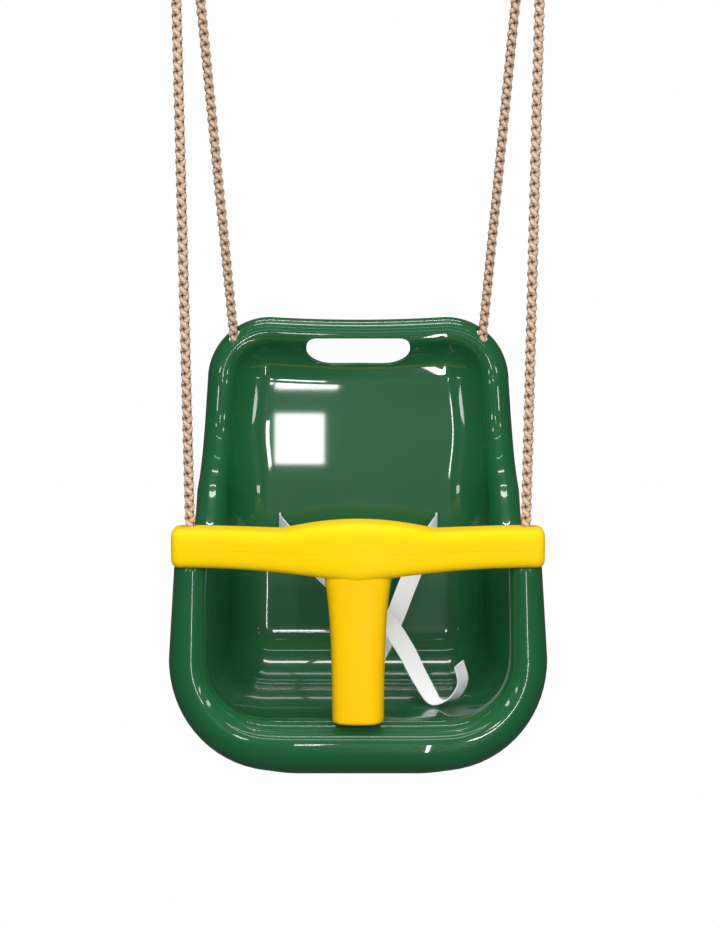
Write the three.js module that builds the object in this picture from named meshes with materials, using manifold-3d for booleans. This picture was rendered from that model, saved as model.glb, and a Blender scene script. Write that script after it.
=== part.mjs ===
// A toddler bucket swing: a moulded seat shell, a sliding T-bar guard, one rope on each side that
// runs from the armrest up over a thimble and down to the backrest, and the steel rings that it
// all hangs from. Millimetres, +X to the right of someone facing the seat's front, +Y to its back,
// +Z up. The origin is midway between the points where a hook bears in the two rings.
import * as THREE from 'three';
import { mergeVertices } from 'three/addons/utils/BufferGeometryUtils.js';
import Module from 'manifold-3d';

const wasm = await Module();
wasm.setup();

// ---- Driving dimensions ------------------------------------------------------------------------

const degree = Math.PI / 180;
const gap = 0.3;                                   // left between pieces that rest on each other

// Seat frame: z = 0 near the top of the armrests, y = 0 near the front of the seat.
const panLevel = -175;                             // the sitting surface
const panFront = 3;                                // where the pan meets the rolled front edge
const backTop = { y: 227.2, z: 153.7 };            // top of the flat part of the backrest
const backLean = 6.5 * degree;
const lapRadius = 60;                              // between backrest and pan
const shellWall = 3.5;
const frontInnerHalf = 154;                        // half width between the side walls at the front
const sideTaper = 0.08;                            // how much each side closes in per mm of depth
const rollRadius = 17.2;                           // rolled rim of the back and the armrests
const cornerRollRadius = 20.4;                     // the same rim where the front corners begin
const lipRollGrowth = 9.3;                         // and how much it grows up to the front lip
const lipGrowthLength = 128;
const skirt = 8;                                   // straight edge after the roll
const topDip = 3;                                  // the top edge sags this much in the middle

// Half of the side rim, from the top of the back to the front of the armrest. Each row is a place
// along the centre line of back, lap and pan, the rim point that belongs to it (y, z), the radius
// of the corner between the seat surface and the side wall, and what the wing is wider there than
// the even side taper makes it. The first rim point stands square off the flat back.
const armrestLevel = -22.2;
const firstRise = 19.4;
const firstRim = {
  y: backTop.y - firstRise * Math.cos(backLean),
  z: backTop.z + firstRise * Math.sin(backLean),
};
const rimStations = [
  { s: 0, ...firstRim, corner: 50, wider: 0 },
  { s: 60, y: 202.2, z: 97, corner: 50, wider: 4 },
  { s: 105, y: 188.5, z: 57, corner: 48, wider: 4 },
  { s: 135, y: 170, z: 31.5, corner: 44, wider: 3 },
  { s: 160, y: 149, z: 11, corner: 43, wider: 1.5 },
  { s: 190, y: 126, z: -5.5, corner: 44, wider: 0.5 },
  { s: 230, y: 103, z: -16.5, corner: 45, wider: 0 },
  { s: 277, y: 81, z: -21.2, corner: 45, wider: 0 },
  { s: 321, y: 62, z: armrestLevel, corner: 47, wider: 0 },
  { s: 365, y: 48, z: armrestLevel, corner: 49, wider: 0 },
  { s: 410, y: 33, z: armrestLevel, corner: 52, wider: 0 },
  { s: 455, y: 18, z: armrestLevel, corner: 56, wider: 0 },
];
const frontStation = { y: panFront, z: armrestLevel, corner: 60, wider: 0 };

// Openings in the shell.
const handle = { halfWidth: 58, top: 201.5, bottom: 172.5, topCorner: 13, lowCornerX: 30, lowCornerZ: 17 };
const strapSlot = { x: 88, top: 7, bottom: -19, width: 6 };
const ropeHoleRadius = 6.5;

// T-bar.
const barHalfLength = 189.5;
const barParting = 3;                              // height of the joint between its two halves
const barWall = 3;
const barPlane = 4;                                // y of the bar at its ends
const barBow = 27;                                 // how far its middle bows forward
const barEnd = { top: 23.5, bottom: -17.2, halfDepth: 22 };
const barMiddle = { rise: 10.7, riseReach: 78, drop: 10.7, extraDepth: 2 };
const barEndRounding = 8;
const barSlotOutward = 4.5;                        // rope slots are longer than wide, outwards
const saddleClearance = 0.4;                       // between armrests and the bar that rests on them
const stem = { bottom: -173, top: 0, halfDepth: 20, halfWidth: 26, flare: 7.8, flareLength: 45 };

// Ropes, knots, thimbles and rings.
const ropeRadius = 5;
const knotRadius = 11;
const frontKnot = new THREE.Vector3(170.6, 4, -20.2);
const backKnot = new THREE.Vector3(136, 224, 191.5);
const backEntry = new THREE.Vector3(138.4, 213.4, 202);     // where the rope goes into the rim's hollow
const ringHalfSpacing = 190;
const ringWireRadius = 4;
const ringRadius = 26;                             // to the middle of the wire
const ringWireHeight = 840;                        // middle of the ring's lowest wire
const balance = 102;                               // y of the seat's centre of mass
const thimble = { eye: 7, groove: 15, flange: 19, halfWidth: 7, drop: 1.6 };
const ropeTurnRadius = thimble.groove + ropeRadius + gap;

// Safety strap.
const strapThickness = 1.6;
const strapHalfWidth = 10;

const bearingHeight = ringWireHeight + 2 * ringRadius - ringWireRadius;

// ---- Materials ---------------------------------------------------------------------------------

const finishes = {
  green: { color: 0x14502c, roughness: 0.12, metalness: 0 },
  yellow: { color: 0xf7c400, roughness: 0.38, metalness: 0 },
  rope: { color: 0xa98563, roughness: 0.9, metalness: 0 },
  webbing: { color: 0xe4e6e8, roughness: 0.85, metalness: 0 },
  zinc: { color: 0xb8bcc0, roughness: 0.3, metalness: 1 },
};

const swing = new THREE.Group();
const seat = new THREE.Group();
seat.position.set(0, -balance, -bearingHeight);
swing.add(seat);

function addPiece(name, finish, geometry) {
  const piece = new THREE.Mesh(geometry, new THREE.MeshStandardMaterial(finishes[finish]));
  piece.name = name;
  seat.add(piece);
  return piece;
}

// ---- Geometry helpers --------------------------------------------------------------------------

function lerp(a, b, t) {
  return a + (b - a) * t;
}

function smoothStep(t) {
  const clamped = Math.min(1, Math.max(0, t));
  return clamped * clamped * (3 - 2 * clamped);
}

function bare(geometry) {
  const plain = geometry.clone();
  plain.deleteAttribute('normal');
  plain.deleteAttribute('uv');
  return mergeVertices(plain, 1e-3);
}

function toSolid(geometry) {
  const merged = bare(geometry);
  return new wasm.Manifold(new wasm.Mesh({
    numProp: 3,
    vertProperties: new Float32Array(merged.attributes.position.array),
    triVerts: new Uint32Array(merged.index.array),
  }));
}

function fromSolid(solid) {
  const mesh = solid.getMesh();
  const geometry = new THREE.BufferGeometry();
  const positions = new Float32Array(mesh.numVert * 3);
  for (let vertex = 0; vertex < mesh.numVert; vertex++) {
    for (let axis = 0; axis < 3; axis++) {
      positions[vertex * 3 + axis] = mesh.vertProperties[vertex * mesh.numProp + axis];
    }
  }
  geometry.setAttribute('position', new THREE.BufferAttribute(positions, 3));
  geometry.setIndex(Array.from(mesh.triVerts));
  return geometry;
}

// A closed body skinned over a list of rings of points, with a fan on its first and last ring.
function loft(rings) {
  const count = rings[0].length;
  const points = rings.flat();
  const index = [];
  for (let ring = 0; ring + 1 < rings.length; ring++) {
    for (let i = 0; i < count; i++) {
      const next = (i + 1) % count;
      const a = ring * count + i;
      const b = ring * count + next;
      index.push(a, b, b + count, a, b + count, a + count);
    }
  }
  const last = (rings.length - 1) * count;
  for (let i = 1; i + 1 < count; i++) {
    index.push(0, i + 1, i);
    index.push(last, last + i, last + i + 1);
  }
  const geometry = new THREE.BufferGeometry().setFromPoints(points);
  geometry.setIndex(index);
  return geometry;
}

// Turns a loft inside out when its rings run the other way round.
function facingOut(geometry) {
  const position = geometry.attributes.position;
  const index = geometry.index.array;
  const [a, b, c] = [new THREE.Vector3(), new THREE.Vector3(), new THREE.Vector3()];
  let volume = 0;
  for (let i = 0; i < index.length; i += 3) {
    a.fromBufferAttribute(position, index[i]);
    b.fromBufferAttribute(position, index[i + 1]);
    c.fromBufferAttribute(position, index[i + 2]);
    volume += a.dot(b.cross(c));
  }
  if (volume < 0) {
    const turned = Array.from(index);
    for (let i = 0; i < turned.length; i += 3) {
      [turned[i + 1], turned[i + 2]] = [turned[i + 2], turned[i + 1]];
    }
    geometry.setIndex(turned);
  }
  return geometry;
}

// ---- Seat shell --------------------------------------------------------------------------------

const lapStart = (backTop.z - panLevel) / Math.cos(backLean)
  - lapRadius * Math.tan((Math.PI / 2 - backLean) / 2);
const lapLength = lapRadius * (Math.PI / 2 - backLean);
const lapEnd = lapStart + lapLength;
const backFoot = {
  y: backTop.y - lapStart * Math.sin(backLean),
  z: backTop.z - lapStart * Math.cos(backLean),
};
const lapCentre = {
  y: backFoot.y - lapRadius * Math.cos(backLean),
  z: backFoot.z + lapRadius * Math.sin(backLean),
};
const spineLength = lapEnd + lapCentre.y - panFront;
rimStations.push({ s: spineLength, ...frontStation });

// Point (y, z) on the centre line of the seat surface, s mm from the top of the flat back.
function spine(s) {
  if (s <= lapStart) {
    return { y: backTop.y - s * Math.sin(backLean), z: backTop.z - s * Math.cos(backLean) };
  }
  if (s <= lapEnd) {
    const turn = backLean + (s - lapStart) / lapRadius;
    return {
      y: lapCentre.y + lapRadius * Math.cos(turn),
      z: lapCentre.z - lapRadius * Math.sin(turn),
    };
  }
  return { y: lapCentre.y - (s - lapEnd), z: panLevel };
}

// Smooth value of one column of the rim table at s, by cubic Hermite interpolation.
function rimColumn(key, s) {
  const rows = rimStations;
  let i = rows.length - 2;
  while (i > 0 && rows[i].s > s) i--;
  const slope = (n) => {
    const before = rows[Math.max(0, n - 1)];
    const after = rows[Math.min(rows.length - 1, n + 1)];
    return (after[key] - before[key]) / (after.s - before.s);
  };
  const span = rows[i + 1].s - rows[i].s;
  const t = (s - rows[i].s) / span;
  const t2 = t * t;
  const t3 = t2 * t;
  return (2 * t3 - 3 * t2 + 1) * rows[i][key] + (t3 - 2 * t2 + t) * span * slope(i)
    + (3 * t2 - 2 * t3) * rows[i + 1][key] + (t3 - t2) * span * slope(i + 1);
}

// The cross-section at s: flat to `flat`, a corner arc, then a straight wall up to the rim point.
function section(s) {
  const foot = spine(s);
  const rim = { y: rimColumn('y', s), z: rimColumn('z', s) };
  const height = Math.hypot(rim.y - foot.y, rim.z - foot.z);
  const up = { y: (rim.y - foot.y) / height, z: (rim.z - foot.z) / height };
  const radius = rimColumn('corner', s);
  const steepest = Math.PI / 2 - Math.atan(sideTaper * Math.abs(up.y));
  const arcFor = Math.acos(Math.max(-1, 1 - height / radius));
  const arc = Math.min(steepest, arcFor);
  const straight = Math.max(0, (height - radius * (1 - Math.cos(arc))) / Math.sin(arc));
  const rimHalf = frontInnerHalf - sideTaper * (rim.y - panFront) + rimColumn('wider', s);
  const flat = rimHalf - radius * Math.sin(arc) - straight * Math.cos(arc);
  return { foot, up, radius, arc, straight, flat };
}

const cornerSteps = 5;
const wallSteps = 2;

// Point k of the section's corner and wall: 0 at the flat's edge, cornerSteps + wallSteps at the rim.
function sectionPoint(cut, k) {
  const angle = cut.arc * Math.min(1, k / cornerSteps);
  const along = cut.straight * Math.max(0, (k - cornerSteps) / wallSteps);
  const out = cut.flat + cut.radius * Math.sin(angle) + along * Math.cos(angle);
  const rise = cut.radius * (1 - Math.cos(angle)) + along * Math.sin(angle);
  return new THREE.Vector3(out, cut.foot.y + cut.up.y * rise, cut.foot.z + cut.up.z * rise);
}

const rimIndex = cornerSteps + wallSteps;
const rollSteps = 7;

// Points of the rolled rim that starts at `start`, heads along `ahead` and turns towards `outward`.
function rollPoints(start, ahead, outward, radius, turn, edge) {
  const points = [];
  for (let k = 0; k <= rollSteps; k++) {
    const angle = turn * k / rollSteps;
    points.push(start.clone()
      .addScaledVector(ahead, radius * Math.sin(angle))
      .addScaledVector(outward, radius * (1 - Math.cos(angle))));
  }
  const heading = ahead.clone().multiplyScalar(Math.cos(turn)).addScaledVector(outward, Math.sin(turn));
  points.push(points[rollSteps].clone().addScaledVector(heading, edge));
  return points;
}

function alongRimSteps() {
  const steps = [];
  for (const s of [0, 35, 70, 95, 115, 135, 155, 175, 200, 235]) steps.push(s);
  for (let k = 0; k <= 4; k++) steps.push(lapStart + lapLength * k / 4);
  for (let k = 1; k <= 4; k++) steps.push(lerp(lapEnd, spineLength, k / 4));
  return steps;
}

// Inner skin of the right half, as grids of points that share their edges.
function skinGrids() {
  const grids = [];
  const stations = alongRimSteps();
  const sections = stations.map(section);
  const ahead = new THREE.Vector3();
  const floorColumns = 3;
  const dipAt = (x, s) => topDip * (1 - (x / sections[0].flat) ** 2) * Math.max(0, 1 - s / 50);

  grids.push(stations.map((s, row) => {
    const line = [];
    for (let k = 0; k <= floorColumns; k++) {
      const x = sections[row].flat * k / floorColumns;
      const place = spine(s + dipAt(x, s));
      line.push(new THREE.Vector3(x, place.y, place.z));
    }
    return line;
  }));

  grids.push(sections.map((cut) => {
    const line = [];
    for (let k = 0; k <= rimIndex; k++) line.push(sectionPoint(cut, k));
    return line;
  }));

  // Rolled rim of the wing and the armrest.
  const rimAt = (s) => sectionPoint(section(s), rimIndex);
  const step = 0.5;
  const forward = new THREE.Vector3(0, -Math.cos(backLean), Math.sin(backLean));
  const upBack = new THREE.Vector3(0, Math.sin(backLean), Math.cos(backLean));
  const sideRolls = stations.map((s, row) => {
    const along = rimAt(Math.min(spineLength, s + step)).sub(rimAt(Math.max(0, s - step))).normalize();
    along.lerp(upBack.clone().negate(), 1 - smoothStep(s / 40)).normalize();
    const cut = sections[row];
    const heading = new THREE.Vector3(
      Math.cos(cut.arc), cut.up.y * Math.sin(cut.arc), cut.up.z * Math.sin(cut.arc));
    ahead.copy(heading).addScaledVector(along, -heading.dot(along)).normalize();
    const outward = ahead.clone().cross(along).normalize();
    const fromCorner = rimColumn('y', s) - panFront;
    return rollPoints(rimAt(s), ahead, outward, rollRadius, Math.PI / 2 + cut.arc,
      Math.min(skirt, 0.5 * fromCorner));
  });
  grids.push(sideRolls);

  // Top corner and top edge: the same profile, turned about the corner of the flat back.
  const first = sections[0];
  const sideways = new THREE.Vector3(1, 0, 0);
  const topProfile = (base, out) => {
    const line = [];
    for (let k = 0; k <= cornerSteps; k++) {
      const angle = first.arc * k / cornerSteps;
      line.push(base.clone()
        .addScaledVector(out, first.radius * Math.sin(angle))
        .addScaledVector(forward, first.radius * (1 - Math.cos(angle))));
    }
    for (let k = 0; k < wallSteps; k++) line.push(line[cornerSteps].clone());
    const heading = out.clone().multiplyScalar(Math.cos(first.arc))
      .addScaledVector(forward, Math.sin(first.arc));
    const outward = out.clone().multiplyScalar(Math.sin(first.arc))
      .addScaledVector(forward, -Math.cos(first.arc));
    const rolled = rollPoints(line[rimIndex], heading, outward, rollRadius,
      Math.PI / 2 + first.arc, skirt);
    return line.concat(rolled.slice(1));
  };
  const cornerLines = [];
  const cornerTurns = 5;
  const backCorner = new THREE.Vector3(first.flat, first.foot.y, first.foot.z);
  for (let k = 0; k <= cornerTurns; k++) {
    const turn = Math.PI / 2 * k / cornerTurns;
    const out = sideways.clone().multiplyScalar(Math.cos(turn)).addScaledVector(upBack, Math.sin(turn));
    cornerLines.unshift(topProfile(backCorner, out));
  }
  const topLines = [];
  for (let k = 0; k <= floorColumns; k++) {
    const x = first.flat * k / floorColumns;
    const place = spine(dipAt(x, 0));
    topLines.push(topProfile(new THREE.Vector3(x, place.y, place.z), upBack));
  }
  grids.push(topLines, cornerLines);

  // Armrest's front corner: a quarter dome about the rim's last point.
  const last = sections.length - 1;
  const rimEnd = rimAt(spineLength);
  const frontward = rimEnd.clone().sub(rimAt(spineLength - step)).normalize();
  const rise = new THREE.Vector3(0, 0, 1);
  const outward = rise.clone().cross(frontward).normalize();
  const dome = [];
  const domeTurns = 4;
  for (let k = 0; k <= domeTurns; k++) {
    const turn = Math.PI / 2 * k / domeTurns;
    ahead.copy(rise).multiplyScalar(Math.cos(turn)).addScaledVector(frontward, Math.sin(turn));
    dome.push(rollPoints(rimEnd, ahead, outward, rollRadius, Math.PI, 0));
  }
  grids.push(dome);

  // Front edge, from the armrest down the wall, round the corner and along the pan to the middle.
  const edge = [];
  const beforeEdge = [];
  const nearFront = section(spineLength - step);
  for (let k = rimIndex; k >= 0; k--) {
    edge.push(sectionPoint(sections[last], k));
    beforeEdge.push(sectionPoint(nearFront, k));
  }
  for (let k = floorColumns - 1; k >= 0; k--) {
    const x = sections[last].flat * k / floorColumns;
    edge.push(new THREE.Vector3(x, panFront, panLevel));
    beforeEdge.push(new THREE.Vector3(x, panFront + step, panLevel));
  }
  let pathLength = 0;
  const cornerStart = sections[last].straight;
  const frontRolls = edge.map((point, k) => {
    if (k > 0) pathLength += point.distanceTo(edge[k - 1]);
    const wallShare = Math.min(1, pathLength / cornerStart);
    const past = Math.max(0, pathLength - cornerStart);
    const radius = lerp(rollRadius, cornerRollRadius, wallShare)
      + lipRollGrowth * smoothStep(past / lipGrowthLength);
    const along = edge[Math.min(edge.length - 1, k + 1)].clone()
      .sub(edge[Math.max(0, k - 1)]).normalize();
    if (k === edge.length - 1) along.set(-1, 0, 0);
    if (k === 0) along.set(0, 0, -1);
    const heading = point.clone().sub(beforeEdge[k]).normalize();
    heading.addScaledVector(along, -heading.dot(along)).normalize();
    const out = heading.clone().cross(along).normalize();
    return rollPoints(point, heading, out, radius, Math.PI, Math.min(skirt, 0.5 * pathLength));
  });
  grids.push(frontRolls);
  return grids;
}

// All grids and their mirror images as one open sheet.
function seatSkin() {
  const points = [];
  const index = [];
  for (const grid of skinGrids()) {
    for (const side of [1, -1]) {
      const base = points.length;
      const columns = grid[0].length;
      for (const line of grid) {
        for (const point of line) points.push(new THREE.Vector3(point.x * side, point.y, point.z));
      }
      for (let row = 0; row + 1 < grid.length; row++) {
        for (let k = 0; k + 1 < columns; k++) {
          const a = base + row * columns + k;
          const b = a + columns;
          const quad = side > 0 ? [a, b, b + 1, a, b + 1, a + 1] : [a, b + 1, b, a, a + 1, b + 1];
          index.push(...quad);
        }
      }
    }
  }
  const raw = new THREE.BufferGeometry().setFromPoints(points);
  raw.setIndex(index);
  const merged = mergeVertices(raw, 1e-2);
  const kept = [];
  const source = merged.index.array;
  for (let i = 0; i < source.length; i += 3) {
    const [a, b, c] = [source[i], source[i + 1], source[i + 2]];
    if (a !== b && b !== c && a !== c) kept.push(a, b, c);
  }
  merged.setIndex(kept);
  return merged;
}

// The sheet thickened away from the child, closed along its free edge.
function thicken(sheet, thickness) {
  sheet.computeVertexNormals();
  const position = sheet.attributes.position;
  const normal = sheet.attributes.normal;
  const count = position.count;
  const points = [];
  for (let i = 0; i < count; i++) points.push(new THREE.Vector3().fromBufferAttribute(position, i));
  for (let i = 0; i < count; i++) {
    const away = new THREE.Vector3().fromBufferAttribute(normal, i);
    points.push(points[i].clone().addScaledVector(away, -thickness));
  }
  const front = Array.from(sheet.index.array);
  const index = front.slice();
  const edges = new Map();
  for (let i = 0; i < front.length; i += 3) {
    const corner = [front[i], front[i + 1], front[i + 2]];
    index.push(corner[0] + count, corner[2] + count, corner[1] + count);
    for (let k = 0; k < 3; k++) {
      const a = corner[k];
      const b = corner[(k + 1) % 3];
      const back = `${b}_${a}`;
      if (edges.has(back)) edges.delete(back);
      else edges.set(`${a}_${b}`, [a, b]);
    }
  }
  for (const [a, b] of edges.values()) index.push(a, b + count, b, a, a + count, b + count);
  const solid = new THREE.BufferGeometry().setFromPoints(points);
  solid.setIndex(index);
  return facingOut(solid);
}

function handleCutter() {
  const { halfWidth, top, bottom, topCorner, lowCornerX, lowCornerZ } = handle;
  const shape = new THREE.Shape();
  shape.moveTo(-halfWidth + topCorner, top);
  shape.quadraticCurveTo(-halfWidth, top, -halfWidth, top - topCorner);
  shape.bezierCurveTo(-halfWidth, bottom + lowCornerZ * 0.45, -halfWidth + lowCornerX * 0.45, bottom,
    -halfWidth + lowCornerX, bottom);
  shape.lineTo(halfWidth - lowCornerX, bottom);
  shape.bezierCurveTo(halfWidth - lowCornerX * 0.45, bottom, halfWidth, bottom + lowCornerZ * 0.45,
    halfWidth, top - topCorner);
  shape.quadraticCurveTo(halfWidth, top, halfWidth - topCorner, top);
  const body = new THREE.ExtrudeGeometry(shape, { depth: 120, bevelEnabled: false, curveSegments: 6 });
  body.rotateX(Math.PI / 2);
  body.translate(0, 280, 0);
  return toSolid(body);
}

function rodCutter(from, to, radius, sides = 14) {
  const length = from.distanceTo(to);
  const rod = new THREE.CylinderGeometry(radius, radius, length, sides);
  const direction = to.clone().sub(from).normalize();
  rod.applyQuaternion(new THREE.Quaternion().setFromUnitVectors(new THREE.Vector3(0, 1, 0), direction));
  const middle = from.clone().add(to).multiplyScalar(0.5);
  rod.translate(middle.x, middle.y, middle.z);
  return toSolid(rod);
}

function mirrored(point, side) {
  return new THREE.Vector3(point.x * side, point.y, point.z);
}

function seatShell() {
  let body = toSolid(thicken(seatSkin(), shellWall));
  body = body.subtract(handleCutter());
  for (const side of [-1, 1]) {
    const slot = new THREE.BoxGeometry(strapSlot.width, 60, strapSlot.top - strapSlot.bottom);
    slot.translate(side * strapSlot.x, 210, (strapSlot.top + strapSlot.bottom) / 2);
    body = body.subtract(toSolid(slot));
    for (const run of [ropeLine(frontKnot), ropeLine(backEntry)]) {
      const foot = run.foot.clone().addScaledVector(run.direction, -12);
      const above = run.foot.clone().addScaledVector(run.direction, 45);
      body = body.subtract(rodCutter(mirrored(foot, side), mirrored(above, side), ropeHoleRadius));
    }
  }
  return fromSolid(body);
}

// ---- Ropes -------------------------------------------------------------------------------------

const thimbleCentre = new THREE.Vector3(ringHalfSpacing, balance, ringWireHeight - thimble.drop);

// The straight run of rope from its lower end, `foot`, to where it first touches the thimble.
function ropeLine(foot) {
  const side = Math.sign(foot.y - thimbleCentre.y);
  const dy = thimbleCentre.y - foot.y;
  const dz = thimbleCentre.z - foot.z;
  const lean = Math.atan2(dy, dz) + side * Math.asin(ropeTurnRadius / Math.hypot(dy, dz));
  const touch = new THREE.Vector3(thimbleCentre.x,
    thimbleCentre.y + side * ropeTurnRadius * Math.cos(lean),
    thimbleCentre.z - side * ropeTurnRadius * Math.sin(lean));
  return { foot, touch, lean, direction: touch.clone().sub(foot).normalize() };
}

// Route of the right-hand rope: up from the armrest, over the thimble, down to the backrest.
class RopeRoute extends THREE.Curve {
  constructor(points) {
    super();
    this.points = points;
  }

  getPoint(t) {
    const last = this.points.length - 1;
    const place = Math.min(last - 1e-9, t * last);
    const i = Math.floor(place);
    return this.points[i].clone().lerp(this.points[i + 1], place - i);
  }

  getPointAt(t) {
    return this.getPoint(t);
  }

  getTangentAt(t) {
    const step = 0.5 / (this.points.length - 1);
    return this.getPoint(Math.min(1, t + step)).sub(this.getPoint(Math.max(0, t - step))).normalize();
  }
}

function ropePoints(side) {
  const front = ropeLine(frontKnot);
  const back = ropeLine(backEntry);
  const straightSteps = 8;
  const turnSteps = 10;
  const points = [];
  const start = front.foot.clone().addScaledVector(front.direction, knotRadius + gap);
  const end = back.foot;
  for (let k = 0; k < straightSteps; k++) points.push(start.clone().lerp(front.touch, k / straightSteps));
  for (let k = 0; k <= turnSteps; k++) {
    const angle = lerp(Math.PI + front.lean * -1, back.lean * -1, k / turnSteps);
    points.push(new THREE.Vector3(thimbleCentre.x,
      thimbleCentre.y + ropeTurnRadius * Math.cos(angle),
      thimbleCentre.z + ropeTurnRadius * Math.sin(angle)));
  }
  for (let k = 1; k <= straightSteps; k++) points.push(back.touch.clone().lerp(end, k / straightSteps));
  return points.map((point) => mirrored(point, side));
}

function ropeGeometry(side) {
  const circle = new THREE.Shape();
  circle.absarc(0, 0, ropeRadius, 0, 2 * Math.PI);
  const points = ropePoints(side);
  return facingOut(bare(new THREE.ExtrudeGeometry(circle, {
    steps: points.length - 1,
    extrudePath: new RopeRoute(points),
    curveSegments: 4,
    bevelEnabled: false,
  })));
}

function knotGeometry(knot, side) {
  const profile = [];
  const rings = 7;
  for (let k = 0; k <= rings; k++) {
    const angle = Math.PI * (k / rings - 0.5);
    profile.push(new THREE.Vector2(knotRadius * Math.cos(angle), knotRadius * Math.sin(angle)));
  }
  profile[0].x = 0;
  profile[rings].x = 0;
  const ball = new THREE.LatheGeometry(profile, 12);
  ball.translate(knot.x * side, knot.y, knot.z);
  return facingOut(bare(ball));
}

// Thimble: a grooved ring round the wire, cut open below so that it can be bent on.
function thimbleGeometry(side) {
  const { eye, groove, flange, halfWidth } = thimble;
  const profile = [new THREE.Vector2(eye, -halfWidth), new THREE.Vector2(eye, halfWidth),
    new THREE.Vector2(flange, halfWidth), new THREE.Vector2(flange, ropeRadius + gap)];
  const grooveSteps = 4;
  for (let k = 0; k <= grooveSteps; k++) {
    const angle = Math.PI / 2 * (1 - 2 * k / grooveSteps);
    const depth = Math.min(flange - groove, (ropeRadius + gap) * Math.cos(angle));
    profile.push(new THREE.Vector2(flange - depth, (ropeRadius + gap) * Math.sin(angle)));
  }
  profile.push(new THREE.Vector2(flange, -halfWidth), new THREE.Vector2(eye, -halfWidth));
  const ring = new THREE.LatheGeometry(profile, 20);
  ring.rotateZ(Math.PI / 2);
  ring.translate(thimbleCentre.x * side, thimbleCentre.y, thimbleCentre.z);
  const opening = new THREE.BoxGeometry(3 * halfWidth, eye, 2 * flange);
  opening.translate(thimbleCentre.x * side, thimbleCentre.y, thimbleCentre.z - flange);
  return fromSolid(toSolid(facingOut(bare(ring))).subtract(toSolid(opening)));
}

function ringGeometry(side) {
  const ring = new THREE.TorusGeometry(ringRadius, ringWireRadius, 8, 24);
  ring.rotateX(Math.PI / 2);
  ring.translate(side * ringHalfSpacing, balance, ringWireHeight + ringRadius);
  return facingOut(bare(ring));
}

// ---- T-bar -------------------------------------------------------------------------------------

// Rounded outline of the bar across its length at x, pulled in by `inset`.
function barRing(x, inset) {
  const fromMiddle = Math.abs(x);
  const bow = barBow * Math.cos(Math.PI / 2 * fromMiddle / barHalfLength) ** 2;
  const rise = barMiddle.rise * Math.max(0, 1 - (fromMiddle / barMiddle.riseReach) ** 2) ** 1.15;
  const drop = barMiddle.drop * Math.max(0, 1 - fromMiddle / 150) ** 2.2;
  const end = Math.max(0, fromMiddle - (barHalfLength - barEndRounding));
  const rounding = barEndRounding - Math.sqrt(barEndRounding ** 2 - Math.min(end, barEndRounding) ** 2);
  const shrink = inset + rounding * 0.8;
  const top = barEnd.top + rise - shrink;
  const bottom = barEnd.bottom - drop + shrink;
  const depth = barEnd.halfDepth + barMiddle.extraDepth * smoothStep(1 - fromMiddle / 120) - shrink;
  const half = (top - bottom) / 2;
  const points = [];
  const count = 18;
  const squareness = 0.45;
  for (let k = 0; k < count; k++) {
    const angle = 2 * Math.PI * (k + 0.5) / count;
    const across = Math.sign(Math.cos(angle)) * Math.abs(Math.cos(angle)) ** squareness;
    const up = Math.sign(Math.sin(angle)) * Math.abs(Math.sin(angle)) ** squareness;
    points.push(new THREE.Vector3(x, barPlane - bow + depth * across, (top + bottom) / 2 + half * up));
  }
  return points;
}

function barBody(inset) {
  const reach = barHalfLength - inset;
  const places = [];
  for (const share of [0, 0.12, 0.24, 0.36, 0.48, 0.62, 0.8]) places.push(share * reach);
  for (const rest of [barEndRounding, 4, 1.5, 0.3]) places.push(reach - rest);
  const all = places.slice(1).reverse().map((x) => -x).concat(places);
  return toSolid(facingOut(loft(all.map((x) => barRing(x, inset)))));
}

function stemRing(z, inset) {
  const half = stem.halfWidth + stem.flare * Math.exp((z + 25) / stem.flareLength);
  const width = Math.min(half, stem.halfWidth + stem.flare) - inset;
  const depth = stem.halfDepth - inset;
  const points = [];
  const count = 18;
  for (let k = 0; k < count; k++) {
    const angle = 2 * Math.PI * k / count;
    const across = Math.sign(Math.cos(angle)) * Math.abs(Math.cos(angle)) ** 0.7;
    const deep = Math.sign(Math.sin(angle)) * Math.abs(Math.sin(angle)) ** 0.7;
    points.push(new THREE.Vector3(width * across, barPlane - barBow + depth * deep, z));
  }
  return points;
}

function stemBody(inset, bottom, top) {
  const levels = [bottom];
  for (const level of [-130, -90, -60, -35]) levels.push(level);
  levels.push(top);
  const foot = stemRing(bottom, inset + 3);
  const rings = levels.map((z) => stemRing(z, inset));
  rings[0] = stemRing(bottom + 3, inset);
  return toSolid(facingOut(loft([foot, ...rings])));
}

function halfSpace(above) {
  const block = new THREE.BoxGeometry(500, 200, 200);
  block.translate(0, 0, barParting + (above ? 1 : -1) * (100 + gap / 2));
  return toSolid(block);
}

function barRopeSlots() {
  const line = ropeLine(frontKnot);
  const cutters = [];
  for (const side of [-1, 1]) {
    for (const shift of [0, barSlotOutward / 2, barSlotOutward]) {
      const move = new THREE.Vector3(side * shift, 0, 0);
      const low = mirrored(line.foot, side).add(move);
      const high = mirrored(line.foot.clone().addScaledVector(line.direction, 90), side).add(move);
      cutters.push(rodCutter(low, high, ropeRadius + 1));
    }
  }
  return cutters.reduce((all, cutter) => all.add(cutter));
}

// The two armrests' front ends, grown by `allowance`: a roll along the rim with a round end.
function armrestEnds(allowance) {
  const radius = rollRadius + allowance;
  const ends = [];
  for (const side of [-1, 1]) {
    const front = new THREE.Vector3(side * (frontInnerHalf + rollRadius), panFront, armrestLevel);
    const behind = front.clone().add(new THREE.Vector3(-side * sideTaper * 60, 60, 0));
    const dome = new THREE.SphereGeometry(radius, 24, 16);
    dome.translate(front.x, front.y, front.z);
    ends.push(rodCutter(front, behind, radius, 24).add(toSolid(facingOut(bare(dome)))));
  }
  return ends[0].add(ends[1]);
}

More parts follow.
